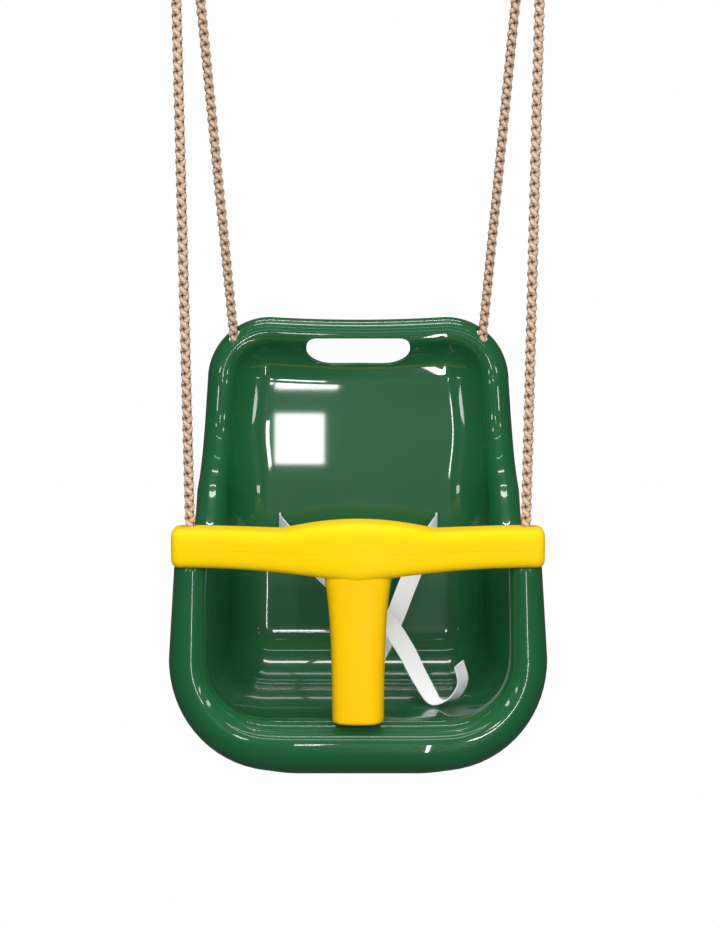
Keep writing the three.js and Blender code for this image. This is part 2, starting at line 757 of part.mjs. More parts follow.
function addTBar() {
  const cavity = barBody(barWall).subtract(armrestEnds(saddleClearance + barWall));
  const outside = barBody(0).subtract(armrestEnds(saddleClearance));
  const hollow = outside.subtract(cavity).subtract(barRopeSlots());
  const socket = stemBody(-gap, stem.bottom - 10, stem.top + 10);
  const stemHollow = stemBody(barWall, stem.bottom + 6, stem.top + 20);
  addPiece('t_bar_top_shell', 'yellow', fromSolid(hollow.intersect(halfSpace(true))));
  addPiece('t_bar_bottom_shell', 'yellow', fromSolid(hollow.intersect(halfSpace(false)).subtract(socket)));
  addPiece('t_bar_stem', 'yellow', fromSolid(stemBody(0, stem.bottom, stem.top).subtract(stemHollow)));
}

// ---- Safety strap ------------------------------------------------------------------------------

// Middle line and width direction of the webbing, from its free end in front, through the left
// slot, behind the back, through the right slot, and down behind the stem.
const strapRoute = [
  [106, 44, -129, 0.5, 0.85, 0.1], [110, 46, -150, 0.6, 0.8, 0.1], [100, 48, -167, 0.7, 0.7, 0],
  [82, 50, -170, 0.75, 0.65, 0], [66, 56, -148, 0.8, 0.55, 0.2], [50, 64, -118, 0.8, 0.4, 0.4],
  [29, 76, -90, 0.6, 0.3, 0.7], [0, 97, -70, 0.3, 0.2, 0.9], [-34, 128, -52, 0, 0.3, 0.95],
  [-63, 166, -30, 0, 0.2, 0.98], [-82, 194, -12, 0, 0, 1], [-88, 209, -6, 0, 0, 1],
  [-84, 216.4, -6, 0, 0, 1], [-60, 216.6, -6, 0, 0, 1], [0, 216.6, -6, 0, 0, 1],
  [60, 216.6, -6, 0, 0, 1], [84, 216.4, -6, 0, 0, 1], [88, 209, -6, 0, 0, 1],
  [84, 194, -12, -0.2, 0, 1], [70, 166, -32, -0.7, 0, 0.7], [54, 134, -62, -0.95, 0.1, 0.25],
  [38, 112, -98, -0.9, 0.2, 0.35], [20, 100, -134, -0.85, 0.2, 0.45], [6, 92, -158, -0.85, 0.1, 0.5],
];

function strapGeometry() {
  const middle = new THREE.CatmullRomCurve3(strapRoute.map(([x, y, z]) => new THREE.Vector3(x, y, z)),
    false, 'centripetal');
  const across = new THREE.CatmullRomCurve3(strapRoute.map((row) => new THREE.Vector3(...row.slice(3))));
  const steps = (strapRoute.length - 1) * 2;
  const rings = [];
  for (let k = 0; k <= steps; k++) {
    const t = k / steps;
    const point = middle.getPoint(t);
    const ahead = middle.getTangent(t);
    const wide = across.getPoint(t);
    wide.addScaledVector(ahead, -wide.dot(ahead)).normalize();
    const thick = ahead.clone().cross(wide).normalize();
    rings.push([[1, 1], [-1, 1], [-1, -1], [1, -1]].map(([w, h]) => point.clone()
      .addScaledVector(wide, w * strapHalfWidth)
      .addScaledVector(thick, h * strapThickness / 2)));
  }
  return facingOut(loft(rings));
}

// ---- Assembly ----------------------------------------------------------------------------------

addPiece('seat_shell', 'green', seatShell());
addTBar();
for (const [side, name] of [[-1, 'left'], [1, 'right']]) {
  addPiece(`rope_${name}`, 'rope', ropeGeometry(side));
  addPiece(`armrest_knot_${name}`, 'rope', knotGeometry(frontKnot, side));
  addPiece(`backrest_knot_${name}`, 'rope', knotGeometry(backKnot, side));
  addPiece(`rope_thimble_${name}`, 'zinc', thimbleGeometry(side));
  addPiece(`hanging_ring_${name}`, 'zinc', ringGeometry(side));
}
addPiece('safety_strap', 'webbing', strapGeometry());

export default swing;
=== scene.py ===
# Toddler bucket swing: the looks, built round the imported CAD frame. Metres, +Z up, +Y to the back.
import math

import bmesh
import bpy
import numpy as np
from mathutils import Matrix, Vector
from mathutils.bvhtree import BVHTree


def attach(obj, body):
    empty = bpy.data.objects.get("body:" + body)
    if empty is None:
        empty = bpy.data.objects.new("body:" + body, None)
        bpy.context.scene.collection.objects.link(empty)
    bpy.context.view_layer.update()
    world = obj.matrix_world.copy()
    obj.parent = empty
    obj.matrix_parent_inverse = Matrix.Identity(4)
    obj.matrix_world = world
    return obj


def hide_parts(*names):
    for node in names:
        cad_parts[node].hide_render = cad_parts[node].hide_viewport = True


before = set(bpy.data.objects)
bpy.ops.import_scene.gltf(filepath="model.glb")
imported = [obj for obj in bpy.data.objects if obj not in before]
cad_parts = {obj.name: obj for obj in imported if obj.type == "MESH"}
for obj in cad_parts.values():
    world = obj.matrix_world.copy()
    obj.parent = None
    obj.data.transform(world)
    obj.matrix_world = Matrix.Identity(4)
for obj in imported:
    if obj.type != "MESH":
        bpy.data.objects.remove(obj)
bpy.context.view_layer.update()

MM = 0.001
DEGREE = math.pi / 180

# The seat frame of the CAD model (z = 0 at the armrests, y = 0 at the seat's front) sits here.
BALANCE = 102.0
BEARING_HEIGHT = 888.0


def place(points):
    """Millimetres in the seat frame to metres in the row frame."""
    return (np.asarray(points, float) - (0.0, BALANCE, BEARING_HEIGHT)) * MM


# ---- Camera ----

CAMERA = {"back": 1950.0, "up": 345.0, "tilt": 7.5, "lens": 75.3, "sensor": 36.0, "side": 2.0}


def make_camera():
    data = bpy.data.cameras.new("camera")
    data.sensor_width = CAMERA["sensor"]
    data.lens = CAMERA["lens"]
    camera = bpy.data.objects.new("camera", data)
    camera.location = place([CAMERA["side"], -CAMERA["back"], CAMERA["up"]])
    camera.rotation_euler = (math.pi / 2 - CAMERA["tilt"] * DEGREE, 0, 0)
    bpy.context.scene.collection.objects.link(camera)
    bpy.context.scene.camera = camera


make_camera()

# ---- Mesh helpers ----


def make_object(name, points, faces, material, smooth=True, uv=None):
    """A mesh object from points in metres, with one UV for each point if `uv` is given."""
    mesh = bpy.data.meshes.new(name)
    mesh.from_pydata([tuple(point) for point in points], [], [tuple(face) for face in faces])
    if uv is not None:
        layer = mesh.uv_layers.new(name="cloth")
        for loop in mesh.loops:
            layer.data[loop.index].uv = uv[loop.vertex_index]
    mesh.update()
    if smooth:
        mesh.shade_smooth()
    if material is not None:
        mesh.materials.append(material)
    made = bpy.data.objects.new(name, mesh)
    bpy.context.scene.collection.objects.link(made)
    return made


def grid_faces(rows, columns, start=0, closed=False, flip=False):
    """Quads between neighbouring points of a grid stored row by row."""
    faces = []
    reach = columns if closed else columns - 1
    for row in range(rows - 1):
        for k in range(reach):
            a = start + row * columns + k
            b = start + row * columns + (k + 1) % columns
            quad = (a, b, b + columns, a + columns)
            faces.append(quad[::-1] if flip else quad)
    return faces


def unit(vector):
    return vector / np.linalg.norm(vector)


def smooth_step(t):
    t = min(1.0, max(0.0, t))
    return t * t * (3 - 2 * t)


def bezier(points, steps):
    """Points of a Bezier curve, without its last one."""
    made = []
    for k in range(steps):
        t = k / steps
        row = [np.asarray(point, float) for point in points]
        while len(row) > 1:
            row = [a + (b - a) * t for a, b in zip(row, row[1:])]
        made.append(row[0])
    return made


# ---- Seat shell ----

PAN_LEVEL = -175.0
PAN_FRONT = 3.0
BACK_TOP = (227.2, 153.7)
BACK_LEAN = 6.5 * DEGREE
LAP_RADIUS = 60.0
SHELL_WALL = 3.5
FRONT_INNER_HALF = 154.0
SIDE_TAPER = 0.08
ROLL_RADIUS = 17.2
CORNER_ROLL_RADIUS = 20.4
LIP_ROLL_GROWTH = 9.3
LIP_GROWTH_LENGTH = 128.0
SKIRT = 8.0
TOP_DIP = 3.0

# Reaches over which the top edge's dip, its roll's direction and the lip's ridges blend.
DIP_REACH = 50.0
TOP_BLEND_REACH = 40.0
RIDGE_BLEND_REACH = 60.0

LAP_START = (BACK_TOP[1] - PAN_LEVEL) / math.cos(BACK_LEAN) - LAP_RADIUS * math.tan(
    (math.pi / 2 - BACK_LEAN) / 2)
LAP_END = LAP_START + LAP_RADIUS * (math.pi / 2 - BACK_LEAN)
LAP_CENTRE = (
    BACK_TOP[0] - LAP_START * math.sin(BACK_LEAN) - LAP_RADIUS * math.cos(BACK_LEAN),
    BACK_TOP[1] - LAP_START * math.cos(BACK_LEAN) + LAP_RADIUS * math.sin(BACK_LEAN))
SPINE_LENGTH = LAP_END + LAP_CENTRE[0] - PAN_FRONT

# Place along the centre line, rim point (y, z), corner radius and extra half width, as in the CAD
# model. The first rim point lies square off the flat back, at the height the corner arc ends at.
FIRST_RISE = 19.4
ARMREST_LEVEL = -22.2
RIM_STATIONS = [
    (0, BACK_TOP[0] - FIRST_RISE * math.cos(BACK_LEAN), BACK_TOP[1] + FIRST_RISE * math.sin(BACK_LEAN),
     50, 0),
    (60, 202.2, 97, 50, 4), (105, 188.5, 57, 48, 4), (135, 170, 31.5, 44, 3),
    (160, 149, 11, 43, 1.5), (190, 126, -5.5, 44, 0.5), (230, 103, -16.5, 45, 0),
    (277, 81, -21.2, 45, 0), (321, 62, ARMREST_LEVEL, 47, 0), (365, 48, ARMREST_LEVEL, 49, 0),
    (410, 33, ARMREST_LEVEL, 52, 0), (455, 18, ARMREST_LEVEL, 56, 0),
    (SPINE_LENGTH, PAN_FRONT, ARMREST_LEVEL, 60, 0)]

CORNER_STEPS = 16
WALL_STEPS = 24
RIM_INDEX = CORNER_STEPS + WALL_STEPS
ROLL_STEPS = 40
FLOOR_COLUMNS = 26
ROW_LENGTH = 3.2

# Fine ridges that run round the front lip, on the rolled rim: turn from its start, and height.
LIP_RIDGES = [(0.42, 1.1), (0.70, 0.9), (0.95, 0.7)]
RIDGE_HALF_TURN = 0.10


def spine(s):
    if s <= LAP_START:
        return np.array([BACK_TOP[0] - s * math.sin(BACK_LEAN), BACK_TOP[1] - s * math.cos(BACK_LEAN)])
    if s <= LAP_END:
        turn = BACK_LEAN + (s - LAP_START) / LAP_RADIUS
        return np.array([LAP_CENTRE[0] + LAP_RADIUS * math.cos(turn),
                         LAP_CENTRE[1] - LAP_RADIUS * math.sin(turn)])
    return np.array([LAP_CENTRE[0] - (s - LAP_END), PAN_LEVEL])


def rim_values(s):
    """Rim y and z, corner radius and extra half width at s, by cubic Hermite interpolation."""
    rows = RIM_STATIONS
    i = len(rows) - 2
    while i > 0 and rows[i][0] > s:
        i -= 1

    def slope(n):
        before = rows[max(0, n - 1)]
        after = rows[min(len(rows) - 1, n + 1)]
        return (np.array(after[1:]) - np.array(before[1:])) / (after[0] - before[0])

    span = rows[i + 1][0] - rows[i][0]
    t = (s - rows[i][0]) / span
    low, high = np.array(rows[i][1:], float), np.array(rows[i + 1][1:], float)
    return ((2 * t**3 - 3 * t**2 + 1) * low + (t**3 - 2 * t**2 + t) * span * slope(i)
            + (3 * t**2 - 2 * t**3) * high + (t**3 - t**2) * span * slope(i + 1))


def section(s):
    foot = spine(s)
    rim_y, rim_z, radius, wider = rim_values(s)
    rim = np.array([rim_y, rim_z])
    height = np.linalg.norm(rim - foot)
    up = (rim - foot) / height
    steepest = math.pi / 2 - math.atan(SIDE_TAPER * abs(up[0]))
    arc = min(steepest, math.acos(max(-1.0, 1 - height / radius)))
    straight = max(0.0, (height - radius * (1 - math.cos(arc))) / math.sin(arc))
    rim_half = FRONT_INNER_HALF - SIDE_TAPER * (rim_y - PAN_FRONT) + wider
    flat = rim_half - radius * math.sin(arc) - straight * math.cos(arc)
    return {"foot": foot, "up": up, "radius": radius, "arc": arc, "straight": straight, "flat": flat}


def section_point(cut, k):
    angle = cut["arc"] * min(1.0, k / CORNER_STEPS)
    along = cut["straight"] * max(0.0, (k - CORNER_STEPS) / WALL_STEPS)
    out = cut["flat"] + cut["radius"] * math.sin(angle) + along * math.cos(angle)
    rise = cut["radius"] * (1 - math.cos(angle)) + along * math.sin(angle)
    return np.array([out, *(cut["foot"] + cut["up"] * rise)])


def roll_points(start, ahead, outward, radius, turn, edge, ridge=0.0):
    points = []
    for k in range(ROLL_STEPS + 1):
        angle = turn * k / ROLL_STEPS
        swell = radius
        for at, height in LIP_RIDGES:
            swell += ridge * height * smooth_step(1 - abs(angle - at) / RIDGE_HALF_TURN)
        points.append(start + ahead * swell * math.sin(angle)
                      + outward * (radius - swell * math.cos(angle)))
    heading = ahead * math.cos(turn) + outward * math.sin(turn)
    for share in (0.33, 0.66, 1.0):
        points.append(points[ROLL_STEPS] + heading * edge * share)
    return points


def skin_grids():
    """The inner skin's right half as grids of points that share their edges."""
    grids = []
    rows = int(SPINE_LENGTH / ROW_LENGTH)
    places = [SPINE_LENGTH * k / rows for k in range(rows + 1)]
    sections = [section(s) for s in places]
    first, last = sections[0], sections[-1]

    def dip_at(x, s):
        return TOP_DIP * (1 - (x / first["flat"]) ** 2) * max(0.0, 1 - s / DIP_REACH)

    floor = []
    for s, cut in zip(places, sections):
        line = []
        for k in range(FLOOR_COLUMNS + 1):
            x = cut["flat"] * k / FLOOR_COLUMNS
            line.append(np.array([x, *spine(s + dip_at(x, s))]))
        floor.append(line)
    grids.append(floor)
    grids.append([[section_point(cut, k) for k in range(RIM_INDEX + 1)] for cut in sections])

    def rim_at(s):
        return section_point(section(s), RIM_INDEX)

    step = 0.5
    side_rolls = []
    forward = np.array([0, -math.cos(BACK_LEAN), math.sin(BACK_LEAN)])
    up_back = np.array([0, math.sin(BACK_LEAN), math.cos(BACK_LEAN)])
    for s, cut in zip(places, sections):
        along = unit(rim_at(min(SPINE_LENGTH, s + step)) - rim_at(max(0.0, s - step)))
        along = unit(along + (-up_back - along) * (1 - smooth_step(s / TOP_BLEND_REACH)))
        heading = np.array([math.cos(cut["arc"]), *(cut["up"] * math.sin(cut["arc"]))])
        ahead = unit(heading - along * heading.dot(along))
        outward = unit(np.cross(ahead, along))
        from_corner = rim_values(s)[0] - PAN_FRONT
        side_rolls.append(roll_points(rim_at(s), ahead, outward, ROLL_RADIUS,
                                      math.pi / 2 + cut["arc"], min(SKIRT, 0.5 * from_corner)))
    grids.append(side_rolls)

    sideways = np.array([1.0, 0, 0])

    def top_profile(base, out):
        line = []
        for k in range(CORNER_STEPS + 1):
            angle = first["arc"] * k / CORNER_STEPS
            line.append(base + out * first["radius"] * math.sin(angle)
                        + forward * first["radius"] * (1 - math.cos(angle)))
        line += [line[CORNER_STEPS].copy() for _ in range(WALL_STEPS)]
        heading = out * math.cos(first["arc"]) + forward * math.sin(first["arc"])
        outward = out * math.sin(first["arc"]) - forward * math.cos(first["arc"])
        return line + roll_points(line[RIM_INDEX], heading, outward, ROLL_RADIUS,
                                  math.pi / 2 + first["arc"], SKIRT)[1:]

    corner_turns = 26
    back_corner = np.array([first["flat"], *first["foot"]])
    corner = []
    for k in range(corner_turns, -1, -1):
        turn = math.pi / 2 * k / corner_turns
        corner.append(top_profile(back_corner, sideways * math.cos(turn) + up_back * math.sin(turn)))
    top = []
    for k in range(FLOOR_COLUMNS + 1):
        x = first["flat"] * k / FLOOR_COLUMNS
        top.append(top_profile(np.array([x, *spine(dip_at(x, 0))]), up_back))
    grids += [top, corner]

    rim_end = rim_at(SPINE_LENGTH)
    frontward = unit(rim_end - rim_at(SPINE_LENGTH - step))
    rise = np.array([0, 0, 1.0])
    dome_out = unit(np.cross(rise, frontward))
    dome_turns = 24
    dome = []
    for k in range(dome_turns + 1):
        turn = math.pi / 2 * k / dome_turns
        ahead = rise * math.cos(turn) + frontward * math.sin(turn)
        dome.append(roll_points(rim_end, ahead, dome_out, ROLL_RADIUS, math.pi, 0.0))
    grids.append(dome)

    near_front = section(SPINE_LENGTH - step)
    edge = [section_point(last, k) for k in range(RIM_INDEX, -1, -1)]
    before = [section_point(near_front, k) for k in range(RIM_INDEX, -1, -1)]
    for k in range(FLOOR_COLUMNS - 1, -1, -1):
        x = last["flat"] * k / FLOOR_COLUMNS
        edge.append(np.array([x, PAN_FRONT, PAN_LEVEL]))
        before.append(np.array([x, PAN_FRONT + step, PAN_LEVEL]))
    front_rolls = []
    path = 0.0
    for k, point in enumerate(edge):
        if k > 0:
            path += np.linalg.norm(point - edge[k - 1])
        past = max(0.0, path - last["straight"])
        share = min(1.0, path / last["straight"])
        radius = (ROLL_RADIUS + (CORNER_ROLL_RADIUS - ROLL_RADIUS) * share
                  + LIP_ROLL_GROWTH * smooth_step(past / LIP_GROWTH_LENGTH))
        along = unit(edge[min(len(edge) - 1, k + 1)] - edge[max(0, k - 1)])
        if k == len(edge) - 1:
            along = np.array([-1.0, 0, 0])
        if k == 0:
            along = np.array([0, 0, -1.0])
        heading = unit(point - before[k])
        heading = unit(heading - along * heading.dot(along))
        front_rolls.append(roll_points(point, heading, unit(np.cross(heading, along)), radius, math.pi,
                                       min(SKIRT, 0.5 * path), smooth_step(past / RIDGE_BLEND_REACH)))
    grids.append(front_rolls)
    return grids


def seat_skin():
    """Points and faces of the whole inner skin, in the seat frame's millimetres."""
    points = []
    faces = []
    for grid in skin_grids():
        rows, columns = len(grid), len(grid[0])
        for side in (1, -1):
            start = len(points)
            points += [point * (side, 1, 1) for line in grid for point in line]
            faces += grid_faces(rows, columns, start, flip=side > 0)
    return points, faces


# ---- Materials ----


def new_material(name):
    material = bpy.data.materials.new(name)
    material.use_nodes = True
    tree = material.node_tree
    return material, tree.nodes, tree.links, tree.nodes["Principled BSDF"]


def moulded_green():
    material, _, _, shader = new_material("moulded_green")
    shader.inputs["Base Color"].default_value = (0.010, 0.110, 0.036, 1)
    shader.inputs["Roughness"].default_value = 0.3
    shader.inputs["Specular IOR Level"].default_value = 0.2
    shader.inputs["Coat Weight"].default_value = 1.0
    shader.inputs["Coat Roughness"].default_value = 0.03
    return material


def moulded_yellow(name, green):
    material, _, _, shader = new_material(name)
    shader.inputs["Base Color"].default_value = (1.0, green, 0.001, 1)
    shader.inputs["Roughness"].default_value = 0.42
    shader.inputs["Specular IOR Level"].default_value = 0.15
    return material


def uv_coordinates(nodes, links):
    """Separated cloth coordinates: across (or round) and along, in millimetres."""
    source = nodes.new("ShaderNodeUVMap")
    source.uv_map = "cloth"
    split = nodes.new("ShaderNodeSeparateXYZ")
    links.new(source.outputs["UV"], split.inputs["Vector"])
    return split.outputs["X"], split.outputs["Y"]


def math_node(nodes, links, operation, *values):
    node = nodes.new("ShaderNodeMath")
    node.operation = operation
    for slot, value in zip(node.inputs, values):
        if isinstance(value, (int, float)):
            slot.default_value = value
        else:
            links.new(value, slot)
    return node.outputs["Value"]


def ramp_node(nodes, links, source, stops):
    node = nodes.new("ShaderNodeValToRGB")
    elements = node.color_ramp.elements
    while len(elements) < len(stops):
        elements.new(0.5)
    for element, (position, color) in zip(elements, stops):
        element.position = position
        element.color = (*color, 1)
    links.new(source, node.inputs["Fac"])
    return node.outputs["Color"]


def bump_node(nodes, links, height, strength, distance, shader):
    node = nodes.new("ShaderNodeBump")
    node.inputs["Strength"].default_value = strength
    node.inputs["Distance"].default_value = distance
    links.new(height, node.inputs["Height"])
    links.new(node.outputs["Normal"], shader.inputs["Normal"])


# outer_painted_light is how much lighter each strand is painted on its outward side: a painted highlight.
YARN = {"count": 5.0, "slant": 0.28, "shade": 0.15, "grain_scale": 900, "grain_shade": 0.30,
        "outer_painted_light": 0.62}
# Rope colours from dark to light. The ramp also carries painted light: the strands' outer sides reach its
# light end as a painted highlight, and their sides fall to its dark end as painted shade.
ROPE_SHADES = [(0.2, (0.10, 0.05, 0.028)), (0.55, (0.40, 0.235, 0.14)), (0.85, (0.78, 0.56, 0.4))]


def rope_fibre():
    """Yarns that twist round each strand, with a little grain, and painted light: each strand is painted
    lighter on its outer side and darker on its sides, a painted highlight and painted shade between the
    strands.
    """
    material, nodes, links, shader = new_material("rope_fibre")
    around, along = uv_coordinates(nodes, links)
    turned = math_node(nodes, links, "MULTIPLY", around, YARN["count"])
    twist = math_node(nodes, links, "ADD", turned,
                      math_node(nodes, links, "MULTIPLY", along, YARN["slant"]))
    wave = math_node(nodes, links, "SINE", math_node(nodes, links, "MULTIPLY", twist, 2 * math.pi))
    yarn = math_node(nodes, links, "MULTIPLY_ADD", wave, 0.5, 0.5)
    noise = nodes.new("ShaderNodeTexNoise")
    noise.inputs["Scale"].default_value = YARN["grain_scale"]
    noise.inputs["Detail"].default_value = 3
    place_node = nodes.new("ShaderNodeTexCoord")
    links.new(place_node.outputs["Object"], noise.inputs["Vector"])
    # Painted highlight and shade: the colour is lighter where a strand faces outward and darker on its
    # sides, where the neighbouring strands shade it.
    outer = math_node(nodes, links, "COSINE", math_node(nodes, links, "MULTIPLY", around, 2 * math.pi))
    facing = math_node(nodes, links, "MAXIMUM", outer, 0.0)
    light = math_node(nodes, links, "MULTIPLY", facing, YARN["outer_painted_light"])
    mixed = math_node(nodes, links, "MULTIPLY_ADD", noise.outputs["Fac"], YARN["grain_shade"],
                      math_node(nodes, links, "MULTIPLY_ADD", yarn, YARN["shade"], light))
    color = ramp_node(nodes, links, mixed, ROPE_SHADES)
    links.new(color, shader.inputs["Base Color"])
    shader.inputs["Roughness"].default_value = 0.85
    shader.inputs["Sheen Weight"].default_value = 0.3
    bump_node(nodes, links, mixed, 0.8, 0.0006, shader)
    return material


TWILL = {"slant": 0.6, "pitch": 1.5}


def twill_webbing():
    """Diagonal twill ribs on white webbing."""
    material, nodes, links, shader = new_material("twill_webbing")
    across, along = uv_coordinates(nodes, links)
    slant = math_node(nodes, links, "ADD", across,
                      math_node(nodes, links, "MULTIPLY", along, TWILL["slant"]))
    wave = math_node(nodes, links, "SINE",
                     math_node(nodes, links, "MULTIPLY", slant, 2 * math.pi / TWILL["pitch"]))
    rib = math_node(nodes, links, "MULTIPLY_ADD", wave, 0.5, 0.5)
    color = ramp_node(nodes, links, rib, [(0.0, (0.84, 0.86, 0.88)), (0.6, (0.98, 0.98, 0.98))])
    links.new(color, shader.inputs["Base Color"])
    shader.inputs["Roughness"].default_value = 0.8
    shader.inputs["Sheen Weight"].default_value = 0.25
    bump_node(nodes, links, rib, 0.5, 0.0004, shader)
    return material


def plain(name, color, roughness, metallic):
    material, _, _, shader = new_material(name)
    shader.inputs["Base Color"].default_value = (*color, 1)
    shader.inputs["Roughness"].default_value = roughness
    shader.inputs["Metallic"].default_value = metallic
    return material


GREEN = moulded_green()
YELLOW = moulded_yellow("moulded_yellow_bar", 0.67)
# The stem takes a darker, more orange copy of the bar's yellow: painted shade for the stem under the bar.
SHADED_STEM_YELLOW = moulded_yellow("moulded_yellow_stem_painted_shade", 0.59)
ROPE = rope_fibre()
WEBBING = twill_webbing()
ZINC = plain("zinc_plate", (0.62, 0.63, 0.64), 0.4, 0.45)

# ---- Ropes ----

GAP = 0.3
ROPE_RADIUS = 5.0
KNOT_RADIUS = 11.0
FRONT_KNOT = np.array([170.6, 4.0, -20.2])
BACK_KNOT = np.array([136.0, 224.0, 191.5])
BACK_ENTRY = np.array([138.4, 213.4, 202.0])
RING_HALF_SPACING = 190.0
RING_WIRE_RADIUS = 4.0
RING_RADIUS = 26.0
RING_WIRE_HEIGHT = 840.0
THIMBLE = {"eye": 7.0, "groove": 15.0, "flange": 19.0, "half_width": 7.0, "drop": 1.6}
ROPE_TURN_RADIUS = THIMBLE["groove"] + ROPE_RADIUS + GAP
THIMBLE_CENTRE = np.array([RING_HALF_SPACING, BALANCE, RING_WIRE_HEIGHT - THIMBLE["drop"]])

# The plait: two strands run round each way and pass over and under each other.
PLAIT = {"turn": 22.6, "strands": 2, "radius": 2.9, "weave": 1.05, "thick": 1.8, "wide": 3.1,
         "step": 1.2, "sides": 10}
ROUTE_STEP = 6      # the route that make_rope returns for the cord has every sixth point of the plait's middle line


def mirrored(point, side):
    return np.asarray(point, float) * (side, 1, 1)


def rope_line(foot):
    """Straight run from a rope's foot to the thimble: where it touches, its lean and its direction."""
    side = math.copysign(1, foot[1] - THIMBLE_CENTRE[1])
    dy = THIMBLE_CENTRE[1] - foot[1]
    dz = THIMBLE_CENTRE[2] - foot[2]
    lean = math.atan2(dy, dz) + side * math.asin(ROPE_TURN_RADIUS / math.hypot(dy, dz))
    outward = np.array([0, side * math.cos(lean), -side * math.sin(lean)])
    touch = THIMBLE_CENTRE + ROPE_TURN_RADIUS * outward
    return {"touch": touch, "lean": lean, "direction": unit(touch - foot)}


def rope_route(side):
    """Middle line of a rope, from its front knot over the thimble to its back knot."""
    front, back = rope_line(FRONT_KNOT), rope_line(BACK_ENTRY)
    start = FRONT_KNOT + front["direction"] * (KNOT_RADIUS - 4)
    end = BACK_ENTRY
    straight = 60
    turns = 40
    points = [start + (front["touch"] - start) * k / straight for k in range(straight)]
    for k in range(turns + 1):
        angle = math.pi - front["lean"] + (front["lean"] - back["lean"] - math.pi) * k / turns
        points.append(THIMBLE_CENTRE + ROPE_TURN_RADIUS * np.array([0, math.cos(angle), math.sin(angle)]))
    points += [back["touch"] + (end - back["touch"]) * k / straight for k in range(1, straight + 1)]
    points += bezier([end, end - back["direction"] * 7, BACK_KNOT], 6)[1:]
    return np.array([mirrored(point, side) for point in points])


def resampled(points, step):
    """The same line with points every `step` along it, and its length."""
    pieces = np.linalg.norm(np.diff(points, axis=0), axis=1)
    reach = np.concatenate([[0], np.cumsum(pieces)])
    places = np.linspace(0, reach[-1], int(reach[-1] / step) + 1)
    line = np.stack([np.interp(places, reach, points[:, axis]) for axis in range(3)], axis=1)
    return line, places, reach[-1]


def tangents(line, closed=False):
    if closed:
        ahead = np.roll(line, -1, axis=0) - np.roll(line, 1, axis=0)
    else:
        ahead = np.gradient(line, axis=0)
    return ahead / np.linalg.norm(ahead, axis=1)[:, None]


def tube_rings(line, outward, thick, wide, sides, closed=False):
    """Rings of points round a line: `thick` along `outward`, `wide` across it."""
    ahead = tangents(line, closed)
    radial = outward - ahead * np.sum(outward * ahead, axis=1)[:, None]
    radial /= np.linalg.norm(radial, axis=1)[:, None]
    across = np.cross(ahead, radial)
    angles = 2 * math.pi * np.arange(sides + 1) / sides
    return (line[:, None, :] + radial[:, None, :] * (thick * np.cos(angles))[None, :, None]
            + across[:, None, :] * (wide * np.sin(angles))[None, :, None])


def tube_parts(rings, start, lengths):
    """Points, faces and UVs (round the tube, along it in millimetres) of rings of one tube."""
    rows, columns = rings.shape[:2]
    points = rings.reshape(-1, 3)
    faces = grid_faces(rows, columns, start)
    uv = [(k / (columns - 1), lengths[row]) for row in range(rows) for k in range(columns)]
    return points, faces, uv


def plait_strands(line, lengths):
    """Rings of the plait's strands along a middle line, first those that turn one way, then the other."""
    ahead = tangents(line)
    first = unit(np.cross(ahead[0], [0.3, 1.0, 0.2]))
    normals = [first]
    for k in range(1, len(line)):
        normals.append(unit(normals[-1] - ahead[k] * normals[-1].dot(ahead[k])))
    normal = np.array(normals)
    binormal = np.cross(ahead, normal)
    phase = 2 * math.pi * lengths / PLAIT["turn"]
    strands = []
    count = PLAIT["strands"]
    for way in (1, -1):
        for start in range(count):
            turn = way * phase + 2 * math.pi * start / count
            reach = PLAIT["radius"] + way * PLAIT["weave"] * np.cos(count * phase)
            outward = normal * np.cos(turn)[:, None] + binormal * np.sin(turn)[:, None]
            strand = line + outward * reach[:, None]
            strands.append(tube_rings(strand, outward, PLAIT["thick"], PLAIT["wide"], PLAIT["sides"]))
    return strands


def make_rope(side, name):
    line, lengths, total = resampled(rope_route(side), PLAIT["step"])
    points, faces, uv = [], [], []
    for rings in plait_strands(line, lengths):
        more, quads, marks = tube_parts(rings, len(points), lengths)
        points += list(more)
        faces += quads
        uv += marks
    rope = make_object(f"plaited_rope_{name}", place(points), faces, ROPE, uv=uv)
    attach(rope, "seat")
    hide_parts(f"rope_{name}")
    route = np.vstack([line[:-3:ROUTE_STEP], line[-1:]])
    return rope, place(route), total * MM


def make_knot(knot, side, name):
    """A tight overhand knot inside the CAD model's ball."""
    big, small, thick = 5.0, 2.7, 3.1
    count = 150
    t = 2 * math.pi * np.arange(count) / count
    ring = big + small * np.cos(3 * t)
    line = np.stack([ring * np.cos(2 * t), ring * np.sin(2 * t), small * np.sin(3 * t)], axis=1)
    core = np.stack([big * np.cos(2 * t), big * np.sin(2 * t), 0 * t], axis=1)
    rings = tube_rings(line, line - core, thick, thick, 14, closed=True)
    rings = np.concatenate([rings, rings[:1]])
    lengths = np.linspace(0, 100, count + 1)
    points, faces, uv = tube_parts(rings, 0, lengths)
    made = make_object(f"overhand_{name}", place(points + mirrored(knot, side)), faces, ROPE, uv=uv)
    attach(made, "seat")
    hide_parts(name)
    return made


def lathe(profile, steps):
    """Points and faces of a closed (radius, x) profile turned about the X axis."""
    points = []
    for k in range(steps):
        angle = 2 * math.pi * k / steps
        points += [(x, radius * math.cos(angle), radius * math.sin(angle)) for radius, x in profile]
    count = len(profile)
    faces = []
    for k in range(steps):
        for i in range(count):
            a, b = k * count + i, k * count + (i + 1) % count
            c, d = (k + 1) % steps * count + (i + 1) % count, (k + 1) % steps * count + i
            faces.append((a, b, c, d))
    return np.array(points), faces


